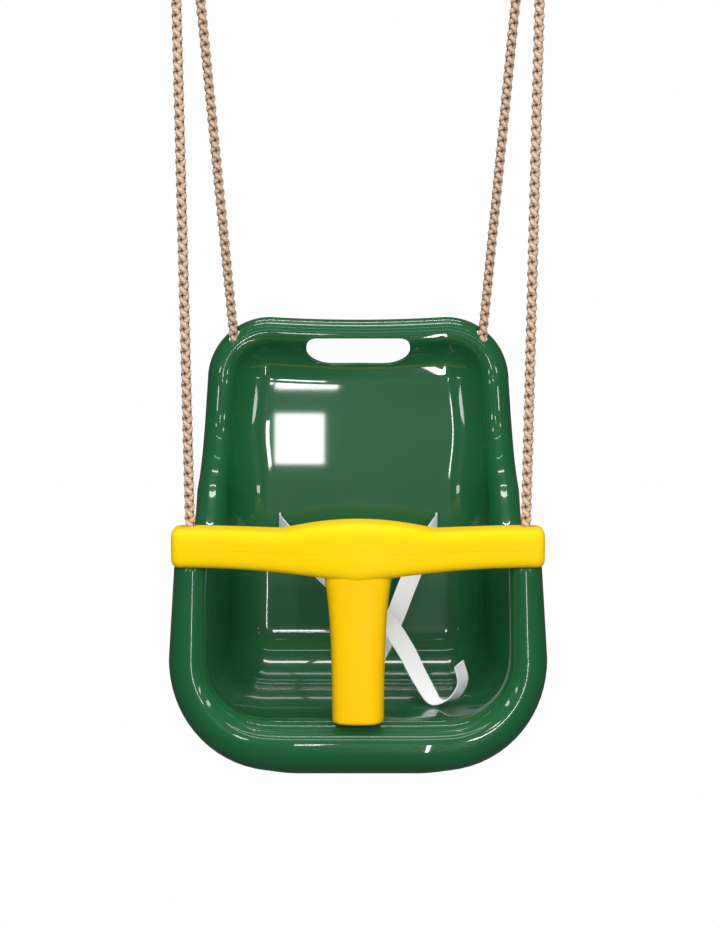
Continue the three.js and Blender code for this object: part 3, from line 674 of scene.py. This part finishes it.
def make_thimble(side, name):
    bend = 1.2
    chamfer = 0.5
    half = THIMBLE["half_width"]
    flange = THIMBLE["flange"]
    groove = ROPE_RADIUS + GAP
    profile = [(THIMBLE["eye"] + bend * (1 - math.cos(a)), -half + bend * (1 - math.sin(a)))
               for a in np.linspace(0, math.pi / 2, 5)][::-1]
    profile += [(radius, -x) for radius, x in profile[::-1]]
    profile += [(flange - chamfer, half), (flange, half - chamfer)]
    for angle in np.linspace(math.pi / 2, -math.pi / 2, 17):
        depth = min(flange - THIMBLE["groove"], groove * math.cos(angle))
        profile.append((flange - depth, groove * math.sin(angle)))
    profile += [(flange, chamfer - half), (flange - chamfer, -half)]
    points, faces = lathe(profile, 96)
    centre = mirrored(THIMBLE_CENTRE, side)
    thimble = make_object(f"thimble_{name}", place(points + centre), faces, ZINC)
    opening = box_object(centre - (0, 0, flange), (3 * half, THIMBLE["eye"], 2 * flange))
    carve(thimble, [opening])
    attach(thimble, "seat")
    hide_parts(f"rope_thimble_{name}")
    return thimble


def make_ring(side, name):
    steps, sides = 96, 20
    points = []
    for k in range(steps):
        angle = 2 * math.pi * k / steps
        for i in range(sides):
            turn = 2 * math.pi * i / sides
            reach = RING_RADIUS + RING_WIRE_RADIUS * math.cos(turn)
            points.append((side * RING_HALF_SPACING + reach * math.sin(angle),
                           BALANCE + RING_WIRE_RADIUS * math.sin(turn),
                           RING_WIRE_HEIGHT + RING_RADIUS - reach * math.cos(angle)))
    faces = grid_faces(steps, sides, closed=True)
    last = (steps - 1) * sides
    for i in range(sides):
        nxt = (i + 1) % sides
        faces.append((last + i, last + nxt, nxt, i))
    ring = make_object(f"ring_{name}", place(points), faces, ZINC)
    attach(ring, "rings")
    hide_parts(f"hanging_ring_{name}")


# ---- Cutting ----


def recalculated(mesh):
    """The mesh with every face turned outwards."""
    clean = bmesh.new()
    clean.from_mesh(mesh)
    bmesh.ops.recalc_face_normals(clean, faces=clean.faces)
    clean.to_mesh(mesh)
    clean.free()


def solid_object(points, faces):
    """A cutter: a closed body in seat-frame millimetres."""
    cutter = make_object("cutter", place(points), faces, None, smooth=False)
    recalculated(cutter.data)
    return cutter


def prism(outline, from_point, to_point, side_axis, up_axis):
    """A cutter with a flat outline in the plane of two axes, drawn from one point to another."""
    points = [np.asarray(end, float) + side_axis * u + up_axis * v
              for end in (from_point, to_point) for u, v in outline]
    count = len(outline)
    faces = [tuple(range(count)), tuple(range(2 * count - 1, count - 1, -1))]
    for k in range(count):
        nxt = (k + 1) % count
        faces.append((k, nxt, nxt + count, k + count))
    return solid_object(points, faces)


def box_object(centre, size):
    half = np.asarray(size, float) / 2
    outline = [(-half[0], -half[2]), (half[0], -half[2]), (half[0], half[2]), (-half[0], half[2])]
    reach = np.array([0, half[1], 0])
    return prism(outline, centre - reach, centre + reach, np.array([1.0, 0, 0]), np.array([0, 0, 1.0]))


def baked(piece):
    """Replaces a piece's mesh by what its modifiers make of it."""
    bpy.context.view_layer.update()
    shown = piece.evaluated_get(bpy.context.evaluated_depsgraph_get())
    mesh = bpy.data.meshes.new_from_object(shown)
    piece.modifiers.clear()
    piece.data = mesh


def carve(piece, cutters, sharp=35):
    """Cuts bodies out of a piece and leaves smooth shading away from the cut edges."""
    for cutter in cutters:
        cut = piece.modifiers.new("cut", "BOOLEAN")
        cut.operation = "DIFFERENCE"
        cut.solver = "EXACT"
        cut.object = cutter
    baked(piece)
    for cutter in cutters:
        bpy.data.objects.remove(cutter)
    piece.data.set_sharp_from_angle(angle=sharp * DEGREE)


# ---- Seat pieces ----

# Outlines of the cuts, and how far each cutter reaches from front to back or along the rope. A bead
# rounds each cut's edge and narrows the opening by its own radius.
HANDLE = {"half": 60.0, "top": 203.5, "bottom": 170.5, "corner": 15.0, "low_x": 31.0, "low_z": 18.0,
          "easing": 0.45, "cut_from": 160, "cut_to": 280, "bead": 2.1}
STRAP_SLOT = {"x": 88.0, "top": 7.0, "bottom": -19.0, "width": 6.0, "cut_from": 190, "cut_to": 240,
              "bead": 1.85}
ROPE_HOLE = {"radius": 7.6, "cut_from": -12, "cut_to": 45, "bead": 1.2}

# Where the rays that find a cut's edge on the skin start from.
HANDLE_RAY_START = 100
STRAP_SLOT_RAY_START = 150
ROPE_HOLE_RAY_START = 60


def handle_outline():
    """The handle slot's edge as (x, z) points."""
    half, top, bottom = HANDLE["half"], HANDLE["top"], HANDLE["bottom"]
    corner, low_x, low_z = HANDLE["corner"], HANDLE["low_x"], HANDLE["low_z"]
    easing = HANDLE["easing"]
    outline = bezier([(-half + corner, top), (-half, top), (-half, top - corner)], 12)
    outline += bezier([(-half, top - corner), (-half, bottom + low_z * easing),
                       (-half + low_x * easing, bottom), (-half + low_x, bottom)], 20)
    outline += bezier([(-half + low_x, bottom), (half - low_x, bottom)], 20)
    outline += bezier([(half - low_x, bottom), (half - low_x * easing, bottom),
                       (half, bottom + low_z * easing), (half, top - corner)], 20)
    outline += bezier([(half, top - corner), (half, top), (half - corner, top)], 12)
    outline += bezier([(half - corner, top), (-half + corner, top)], 28)
    return outline


def slot_outline(half_x, half_z, corner=2.5):
    outline = []
    for sx, sz, start in ((1, 1, 0), (-1, 1, 90), (-1, -1, 180), (1, -1, 270)):
        for k in range(5):
            angle = (start + 22.5 * k) * DEGREE
            outline.append((sx * (half_x - corner) + corner * math.cos(angle),
                            sz * (half_z - corner) + corner * math.sin(angle)))
    return outline


def circle_outline(radius, stretch=0.0, count=40):
    """A circle, or two half circles `stretch` apart along the first axis."""
    outline = []
    for k in range(count):
        angle = 2 * math.pi * (k + 0.5) / count
        shift = stretch if math.cos(angle) > 0 else 0.0
        outline.append((radius * math.cos(angle) + shift, radius * math.sin(angle)))
    return outline


def edge_bead(tree, starts, direction, radius):
    """Rings of a bead that rounds a hole's edge, where rays from `starts` meet the seat's skin."""
    line = []
    normals = []
    for start in starts:
        hit, normal, face, distance = tree.ray_cast(Vector(start), Vector(direction))
        if hit is not None:
            normal = normal if normal.dot(Vector(direction)) < 0 else -normal
            line.append(np.array(hit) - np.array(normal) * SHELL_WALL / 2)
            normals.append(np.array(normal))
    rings = tube_rings(np.array(line), np.array(normals), radius, radius, 12, closed=True)
    return np.concatenate([rings, rings[:1]])


def make_shell():
    points, faces = seat_skin()
    shell = make_object("seat_shell_moulding", place(points), faces, GREEN)
    clean = bmesh.new()
    clean.from_mesh(shell.data)
    bmesh.ops.remove_doubles(clean, verts=clean.verts, dist=2e-5)
    bmesh.ops.dissolve_degenerate(clean, edges=clean.edges, dist=1e-6)
    clean.to_mesh(shell.data)
    clean.free()
    tree = BVHTree.FromPolygons([tuple(point) for point in points], [tuple(face) for face in faces])
    thick = shell.modifiers.new("wall", "SOLIDIFY")
    thick.thickness = SHELL_WALL * MM
    thick.offset = -1
    thick.use_even_offset = True
    across, up, deep = np.eye(3)[0], np.eye(3)[2], np.eye(3)[1]

    outline = handle_outline()
    cutters = [prism(outline, deep * HANDLE["cut_from"], deep * HANDLE["cut_to"], across, up)]
    starts = [across * x + deep * HANDLE_RAY_START + up * z for x, z in outline]
    beads = [edge_bead(tree, starts, deep, HANDLE["bead"])]
    for side in (-1, 1):
        middle = across * side * STRAP_SLOT["x"] + up * (STRAP_SLOT["top"] + STRAP_SLOT["bottom"]) / 2
        outline = slot_outline(STRAP_SLOT["width"] / 2, (STRAP_SLOT["top"] - STRAP_SLOT["bottom"]) / 2)
        cutters.append(prism(outline, middle + deep * STRAP_SLOT["cut_from"],
                             middle + deep * STRAP_SLOT["cut_to"], across, up))
        starts = [middle + across * x + deep * STRAP_SLOT_RAY_START + up * z for x, z in outline]
        beads.append(edge_bead(tree, starts, deep, STRAP_SLOT["bead"]))
        for start in (FRONT_KNOT, BACK_ENTRY):
            direction = mirrored(rope_line(start)["direction"], side)
            foot = mirrored(start, side)
            wide = unit(np.cross(deep, direction))
            far = unit(np.cross(direction, wide))
            outline = circle_outline(ROPE_HOLE["radius"])
            cutters.append(prism(outline, foot + direction * ROPE_HOLE["cut_from"],
                                 foot + direction * ROPE_HOLE["cut_to"], wide, far))
            starts = [foot + direction * ROPE_HOLE_RAY_START + wide * x + far * z for x, z in outline]
            beads.append(edge_bead(tree, starts, -direction, ROPE_HOLE["bead"]))
    carve(shell, cutters)
    bead_points, bead_faces = [], []
    for rings in beads:
        more, quads, _ = tube_parts(rings, len(bead_points), np.zeros(len(rings)))
        bead_points += list(more)
        bead_faces += quads
    bead = make_object("hole_edges", place(bead_points), bead_faces, GREEN)
    recalculated(bead.data)
    for piece in (shell, bead):
        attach(piece, "seat")
    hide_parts("seat_shell")


# ---- T-bar ----

BAR_HALF_LENGTH = 189.5
BAR_PARTING = 3.0
BAR_PARTING_GAP = 0.1
BAR_PLANE = 4.0
BAR_BOW = 27.0
BAR_END = {"top": 23.5, "bottom": -17.2, "half_depth": 22.0}
BAR_MIDDLE = {"rise": 10.7, "rise_reach": 78.0, "rise_power": 1.15, "drop": 10.7, "drop_reach": 150,
              "drop_power": 2.2, "extra_depth": 2.0, "depth_reach": 120}
BAR_SQUARENESS = 0.45
BAR_END_ROUNDING = 8.0
BAR_END_SHRINK = 0.8
BAR_SLOT_OUTWARD = 4.5
SADDLE_CLEARANCE = 0.4
ARMREST_CUTTER_LENGTH = 60
ROPE_SLOT_CUTTER_LENGTH = 90
STEM_CUTTER = {"overlap": 10, "rounding": 3.0}
STEM = {"bottom": -173.0, "top": 0.0, "half_depth": 20.0, "half_width": 26.0, "flare": 7.8,
        "flare_length": 45.0, "flare_level": -25, "rounding": 4.0, "squareness": 0.7}


def bar_ring(x, half_of_bar):
    """One section of the bar at x; half_of_bar is 1 for its top moulding and -1 for its bottom one."""
    middle = abs(x)
    bow = BAR_BOW * math.cos(math.pi / 2 * middle / BAR_HALF_LENGTH) ** 2
    towards_top = max(0.0, 1 - (middle / BAR_MIDDLE["rise_reach"]) ** 2)
    rise = BAR_MIDDLE["rise"] * towards_top ** BAR_MIDDLE["rise_power"]
    towards_stem = max(0.0, 1 - middle / BAR_MIDDLE["drop_reach"])
    drop = BAR_MIDDLE["drop"] * towards_stem ** BAR_MIDDLE["drop_power"]
    end = min(BAR_END_ROUNDING, max(0.0, middle - (BAR_HALF_LENGTH - BAR_END_ROUNDING)))
    shrink = BAR_END_SHRINK * (BAR_END_ROUNDING - math.sqrt(BAR_END_ROUNDING**2 - end**2))
    top = BAR_END["top"] + rise - shrink
    bottom = BAR_END["bottom"] - drop + shrink
    fuller = smooth_step(1 - middle / BAR_MIDDLE["depth_reach"])
    depth = BAR_END["half_depth"] + BAR_MIDDLE["extra_depth"] * fuller - shrink
    half = (top - bottom) / 2
    count = 88
    parting = BAR_PARTING + half_of_bar * BAR_PARTING_GAP / 2
    points = []
    for k in range(count):
        angle = 2 * math.pi * (k + 0.5) / count
        across = math.copysign(abs(math.cos(angle)) ** BAR_SQUARENESS, math.cos(angle))
        up = math.copysign(abs(math.sin(angle)) ** BAR_SQUARENESS, math.sin(angle))
        z = (top + bottom) / 2 + half * up
        z = max(z, parting) if half_of_bar > 0 else min(z, parting)
        points.append((x, BAR_PLANE - bow + depth * across, z))
    return points


def loft(rings):
    """Points and faces of a closed body skinned over rings of points."""
    count = len(rings[0])
    points = [np.array(point, float) for ring in rings for point in ring]
    faces = grid_faces(len(rings), count, closed=True)
    faces.append(tuple(range(count - 1, -1, -1)))
    faces.append(tuple(range((len(rings) - 1) * count, len(rings) * count)))
    return points, faces


def stem_rings(grow, bottom, top, rounding):
    """Sections of the stem, `grow` larger all round, from its rounded foot up to `top`."""
    rings = []
    count = 72
    squareness = STEM["squareness"]
    levels = [bottom + rounding * (1 - math.cos(a)) for a in np.linspace(0.05, math.pi / 2, 10)]
    levels += list(np.linspace(bottom + rounding + 4, top, 60))
    for z in levels:
        lift = max(0.0, rounding - (z - bottom))
        inset = rounding - math.sqrt(max(0.0, rounding**2 - lift**2)) - grow
        flare = STEM["flare"] * math.exp((z - STEM["flare_level"]) / STEM["flare_length"])
        half = STEM["half_width"] + min(STEM["flare"], flare)
        ring = []
        for k in range(count):
            angle = 2 * math.pi * k / count
            across = math.copysign(abs(math.cos(angle)) ** squareness, math.cos(angle))
            deep = math.copysign(abs(math.sin(angle)) ** squareness, math.sin(angle))
            ring.append(((half - inset) * across,
                         BAR_PLANE - BAR_BOW + (STEM["half_depth"] - inset) * deep, z))
        rings.append(ring)
    return rings


def armrest_end(side, allowance):
    """A cutter of an armrest's round front end, grown by `allowance`."""
    radius = ROLL_RADIUS + allowance
    front = np.array([side * (FRONT_INNER_HALF + ROLL_RADIUS), PAN_FRONT, ARMREST_LEVEL])
    along = unit(np.array([-side * SIDE_TAPER, 1.0, 0]))
    wide = unit(np.cross(along, [0, 0, 1.0]))
    rings = []
    for angle in np.linspace(0.02, math.pi / 2, 16):
        ring_centre = front - along * radius * math.cos(angle)
        rings.append([ring_centre + radius * math.sin(angle) * (wide * u + np.array([0, 0, v]))
                      for u, v in circle_outline(1.0, count=48)])
    behind = front + along * ARMREST_CUTTER_LENGTH
    rings.append([behind + radius * (wide * u + np.array([0, 0, v]))
                  for u, v in circle_outline(1.0, count=48)])
    return solid_object(*loft(rings))


def rope_slot_cutter(side):
    direction = mirrored(rope_line(FRONT_KNOT)["direction"], side)
    foot = mirrored(FRONT_KNOT, side)
    wide = unit(np.array([side, 0, 0]) - direction * direction[0] * side)
    far = unit(np.cross(direction, wide))
    outline = circle_outline(ROPE_RADIUS + 1, BAR_SLOT_OUTWARD)
    return prism(outline, foot, foot + direction * ROPE_SLOT_CUTTER_LENGTH, wide, far)


def make_t_bar():
    reach = BAR_HALF_LENGTH
    places = list(np.linspace(0, reach - BAR_END_ROUNDING, 70))
    places += [reach - BAR_END_ROUNDING * (1 - math.sin(a))
               for a in np.linspace(0.1, math.pi / 2 - 0.05, 12)]
    places = [-x for x in places[:0:-1]] + places
    made = []
    for half_of_bar, name in ((1, "top"), (-1, "bottom")):
        points, faces = loft([bar_ring(x, half_of_bar) for x in places])
        half = make_object(f"t_bar_{name}_moulding", place(points), faces, YELLOW)
        recalculated(half.data)
        cutters = [rope_slot_cutter(side) for side in (-1, 1)]
        if half_of_bar < 0:
            cutters += [armrest_end(side, SADDLE_CLEARANCE) for side in (-1, 1)]
            overlap = STEM_CUTTER["overlap"]
            cutters.append(solid_object(*loft(stem_rings(
                GAP, STEM["bottom"] - overlap, STEM["top"] + overlap, STEM_CUTTER["rounding"]))))
        carve(half, cutters)
        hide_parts(f"t_bar_{name}_shell")
        made.append(half)
    points, faces = loft(stem_rings(0.0, STEM["bottom"], STEM["top"], STEM["rounding"]))
    stem = make_object("t_bar_stem_moulding", place(points), faces, SHADED_STEM_YELLOW)
    recalculated(stem.data)
    stem.data.set_sharp_from_angle(angle=50 * DEGREE)
    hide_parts("t_bar_stem")
    for piece in made + [stem]:
        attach(piece, "t_bar")


# ---- Safety strap ----

STRAP_THICKNESS = 1.6
STRAP_HALF_WIDTH = 10.0
STRAP_EDGE_SHARE = 0.6      # of the full thickness, at the webbing's two edges

# Middle line and width direction of the webbing, as in the CAD model.
STRAP_ROUTE = np.array([
    (106, 44, -129, 0.5, 0.85, 0.1), (110, 46, -150, 0.6, 0.8, 0.1), (100, 48, -167, 0.7, 0.7, 0),
    (82, 50, -170, 0.75, 0.65, 0), (66, 56, -148, 0.8, 0.55, 0.2), (50, 64, -118, 0.8, 0.4, 0.4),
    (29, 76, -90, 0.6, 0.3, 0.7), (0, 97, -70, 0.3, 0.2, 0.9), (-34, 128, -52, 0, 0.3, 0.95),
    (-63, 166, -30, 0, 0.2, 0.98), (-82, 194, -12, 0, 0, 1), (-88, 209, -6, 0, 0, 1),
    (-84, 216.4, -6, 0, 0, 1), (-60, 216.6, -6, 0, 0, 1), (0, 216.6, -6, 0, 0, 1),
    (60, 216.6, -6, 0, 0, 1), (84, 216.4, -6, 0, 0, 1), (88, 209, -6, 0, 0, 1),
    (84, 194, -12, -0.2, 0, 1), (70, 166, -32, -0.7, 0, 0.7), (54, 134, -62, -0.95, 0.1, 0.25),
    (38, 112, -98, -0.9, 0.2, 0.35), (20, 100, -134, -0.85, 0.2, 0.45), (6, 92, -158, -0.85, 0.1, 0.5)])


def through(points, steps):
    """A centripetal Catmull-Rom line through points, with `steps` pieces to each span."""
    padded = np.vstack([2 * points[0] - points[1], points, 2 * points[-1] - points[-2]])
    line = []
    for i in range(1, len(padded) - 2):
        a, b, c, d = padded[i - 1:i + 3]
        ab, bc, cd = (max(1e-4, np.linalg.norm(q - p) ** 0.5) for p, q in ((a, b), (b, c), (c, d)))
        start = ((b - a) / ab - (c - a) / (ab + bc) + (c - b) / bc) * bc
        end = ((c - b) / bc - (d - b) / (bc + cd) + (d - c) / cd) * bc
        for k in range(steps):
            t = k / steps
            line.append((2 * t**3 - 3 * t**2 + 1) * b + (t**3 - 2 * t**2 + t) * start
                        + (3 * t**2 - 2 * t**3) * c + (t**3 - t**2) * end)
    line.append(padded[-2])
    return np.array(line)


def make_strap():
    steps = 14
    line = through(STRAP_ROUTE[:, :3], steps)
    spans = np.linspace(0, len(STRAP_ROUTE) - 1, len(line))
    across = np.stack([np.interp(spans, range(len(STRAP_ROUTE)), STRAP_ROUTE[:, 3 + axis])
                       for axis in range(3)], axis=1)
    kernel = np.hanning(steps + 2)
    kernel /= kernel.sum()
    for axis in range(3):
        padded = np.pad(across[:, axis], len(kernel), mode="edge")
        across[:, axis] = np.convolve(padded, kernel, mode="same")[len(kernel):-len(kernel)]
    ahead = tangents(line)
    across -= ahead * np.sum(across * ahead, axis=1)[:, None]
    across /= np.linalg.norm(across, axis=1)[:, None]
    thick = np.cross(ahead, across)
    lengths = np.concatenate([[0], np.cumsum(np.linalg.norm(np.diff(line, axis=0), axis=1))])
    columns = 12
    outline = [(w, 1) for w in np.linspace(-1, 1, columns)]
    outline += [(w, -1) for w in np.linspace(1, -1, columns)]
    points, uv = [], []
    for row in range(len(line)):
        for w, h in outline:
            edge = STRAP_EDGE_SHARE if abs(w) > 0.99 else 1.0
            points.append(line[row] + across[row] * w * STRAP_HALF_WIDTH
                          + thick[row] * h * edge * STRAP_THICKNESS / 2)
            uv.append((w * STRAP_HALF_WIDTH, lengths[row]))
    count = len(outline)
    faces = grid_faces(len(line), count, closed=True)
    faces.append(tuple(range(count)))
    faces.append(tuple(range(len(points) - 1, len(points) - count - 1, -1)))
    strap = make_object("webbing_strap", place(points), faces, WEBBING, uv=uv)
    recalculated(strap.data)
    strap.data.set_sharp_from_angle(angle=40 * DEGREE)
    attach(strap, "seat")
    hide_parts("safety_strap")


# ---- Assembly ----

for side, name in ((-1, "left"), (1, "right")):
    rope, route, rope_length = make_rope(side, name)
    knots = [make_knot(FRONT_KNOT, side, f"armrest_knot_{name}"),
             make_knot(BACK_KNOT, side, f"backrest_knot_{name}")]
    thimble = make_thimble(side, name)
    make_ring(side, name)
make_shell()
make_t_bar()
make_strap()

# ---- Stage ----


def area_light(name, location, target, size, power, size_y=None):
    data = bpy.data.lights.new(name, "AREA")
    data.shape = "RECTANGLE"
    data.size = size
    data.size_y = size_y or size
    data.energy = power
    light = bpy.data.objects.new(name, data)
    light.location = location
    direction = Vector(target) - Vector(location)
    light.rotation_euler = direction.to_track_quat("-Z", "Y").to_euler()
    bpy.context.scene.collection.objects.link(light)
    return light


FLAT_BACK_NORMAL = (0.0, -math.cos(BACK_LEAN), math.sin(BACK_LEAN))

# Lamps that the glossy back panel mirrors in the photograph's view, two windows and the dim room round
# them: middle of the reflection (seat frame), the panel's normal, distance, size (m) and power (W).
WINDOWS = [
    ("window_low", (-66.0, 219.7, 88.0), FLAT_BACK_NORMAL, 3.0, (0.132, 0.135), 1.5),
    ("window_high", (-58.0, 226.9, 151.0), FLAT_BACK_NORMAL, 3.0, (0.168, 0.036), 0.55),
    ("room_glow", (18.0, 216.0, 60.0), FLAT_BACK_NORMAL, 3.05, (0.54, 0.65), 0.28)]

LAMP_TARGET = Vector((0, 0, -0.85))
LAMP_DISTANCE = 3.0

# Rows of lamps from low in front of the swing, over its top, to behind it: elevation, width, height
# (m) and power (W).
CEILING = [(27, 2.4, 0.08, 4), (52, 2.4, 0.08, 4), (81, 2.0, 0.30, 28), (112, 1.8, 0.08, 14)]

# Windows in front to the left and right, which the crests of the side wings mirror: turn and elevation.
SIDE_WINDOWS = [(turn, elevation) for turn in (-30, 30) for elevation in (4, 14)]
SIDE_WINDOW = {"width": 0.45, "height": 0.14, "power": 2.2}

# An upright strip in front on the right, which draws the highlight on the rim's front roll.
ROLL_STRIP = {"place": (0.18, -1.26, -1.158), "width": 0.03, "height": 0.58, "power": 1.8}

# Light from all round, and what the gloss mirrors of it. The camera sees plain white behind the object.
ROOM_LIGHT = 0.20
ROOM_IN_GLOSS = 0.08

# Soft lamps that the gloss doesn't mirror: x and y (m) and power (W).
FILL_HEIGHT = 0.8
FILL_SIZE = 2.2
FILLS = [("fill_left", -0.8, -2.6, 37), ("fill_right", 0.9, -2.6, 38), ("fill_back", 0.4, 2.8, 26)]


def lamp_place(turn, elevation):
    """A place on the sphere of lamps round the target: turn from the front and elevation, in degrees."""
    flat = math.cos(elevation * DEGREE)
    out = Vector((flat * math.sin(turn * DEGREE), -flat * math.cos(turn * DEGREE),
                  math.sin(elevation * DEGREE)))
    return LAMP_TARGET + out * LAMP_DISTANCE


def mirror_light(name, spot, normal, away, size, power):
    """A lamp placed where the photograph's camera sees it mirrored at `spot`."""
    target = Vector(place(spot))
    camera = bpy.context.scene.camera.location
    seen = (target - camera).normalized()
    facing = Vector(normal)
    bounced = seen - 2 * seen.dot(facing) * facing
    area_light(name, target + bounced * away, target, size[0], power, size_y=size[1])


def make_stage():
    world = bpy.data.worlds.new("studio")
    world.use_nodes = True
    bpy.context.scene.world = world
    nodes, links = world.node_tree.nodes, world.node_tree.links
    ray = nodes.new("ShaderNodeLightPath")
    dim = math_node(nodes, links, "MULTIPLY_ADD", ray.outputs["Is Glossy Ray"],
                    ROOM_IN_GLOSS - ROOM_LIGHT, ROOM_LIGHT)
    strength = math_node(nodes, links, "MAXIMUM", dim, ray.outputs["Is Camera Ray"])
    links.new(strength, nodes["Background"].inputs["Strength"])
    nodes["Background"].inputs["Color"].default_value = (1, 1, 1, 1)
    for name, spot, normal, away, size, power in WINDOWS:
        mirror_light(name, spot, normal, away, size, power)
    for elevation, width, height, power in CEILING:
        area_light(f"ceiling_{elevation}", lamp_place(0, elevation), LAMP_TARGET, width, power,
                   size_y=height)
    for turn, elevation in SIDE_WINDOWS:
        area_light(f"side_{turn}_{elevation}", lamp_place(turn, elevation), LAMP_TARGET,
                   SIDE_WINDOW["width"], SIDE_WINDOW["power"], size_y=SIDE_WINDOW["height"])
    x, y, z = ROLL_STRIP["place"]
    strip = area_light("roll_strip", (x, y, z), (x, 0, z), ROLL_STRIP["width"], ROLL_STRIP["power"],
                       size_y=ROLL_STRIP["height"])
    strip.visible_camera = False
    for name, x, y, power in FILLS:
        fill = area_light(name, (x, y, FILL_HEIGHT), LAMP_TARGET, FILL_SIZE, power)
        fill.visible_glossy = False


make_stage()
bpy.context.scene.view_settings.view_transform = "Standard"
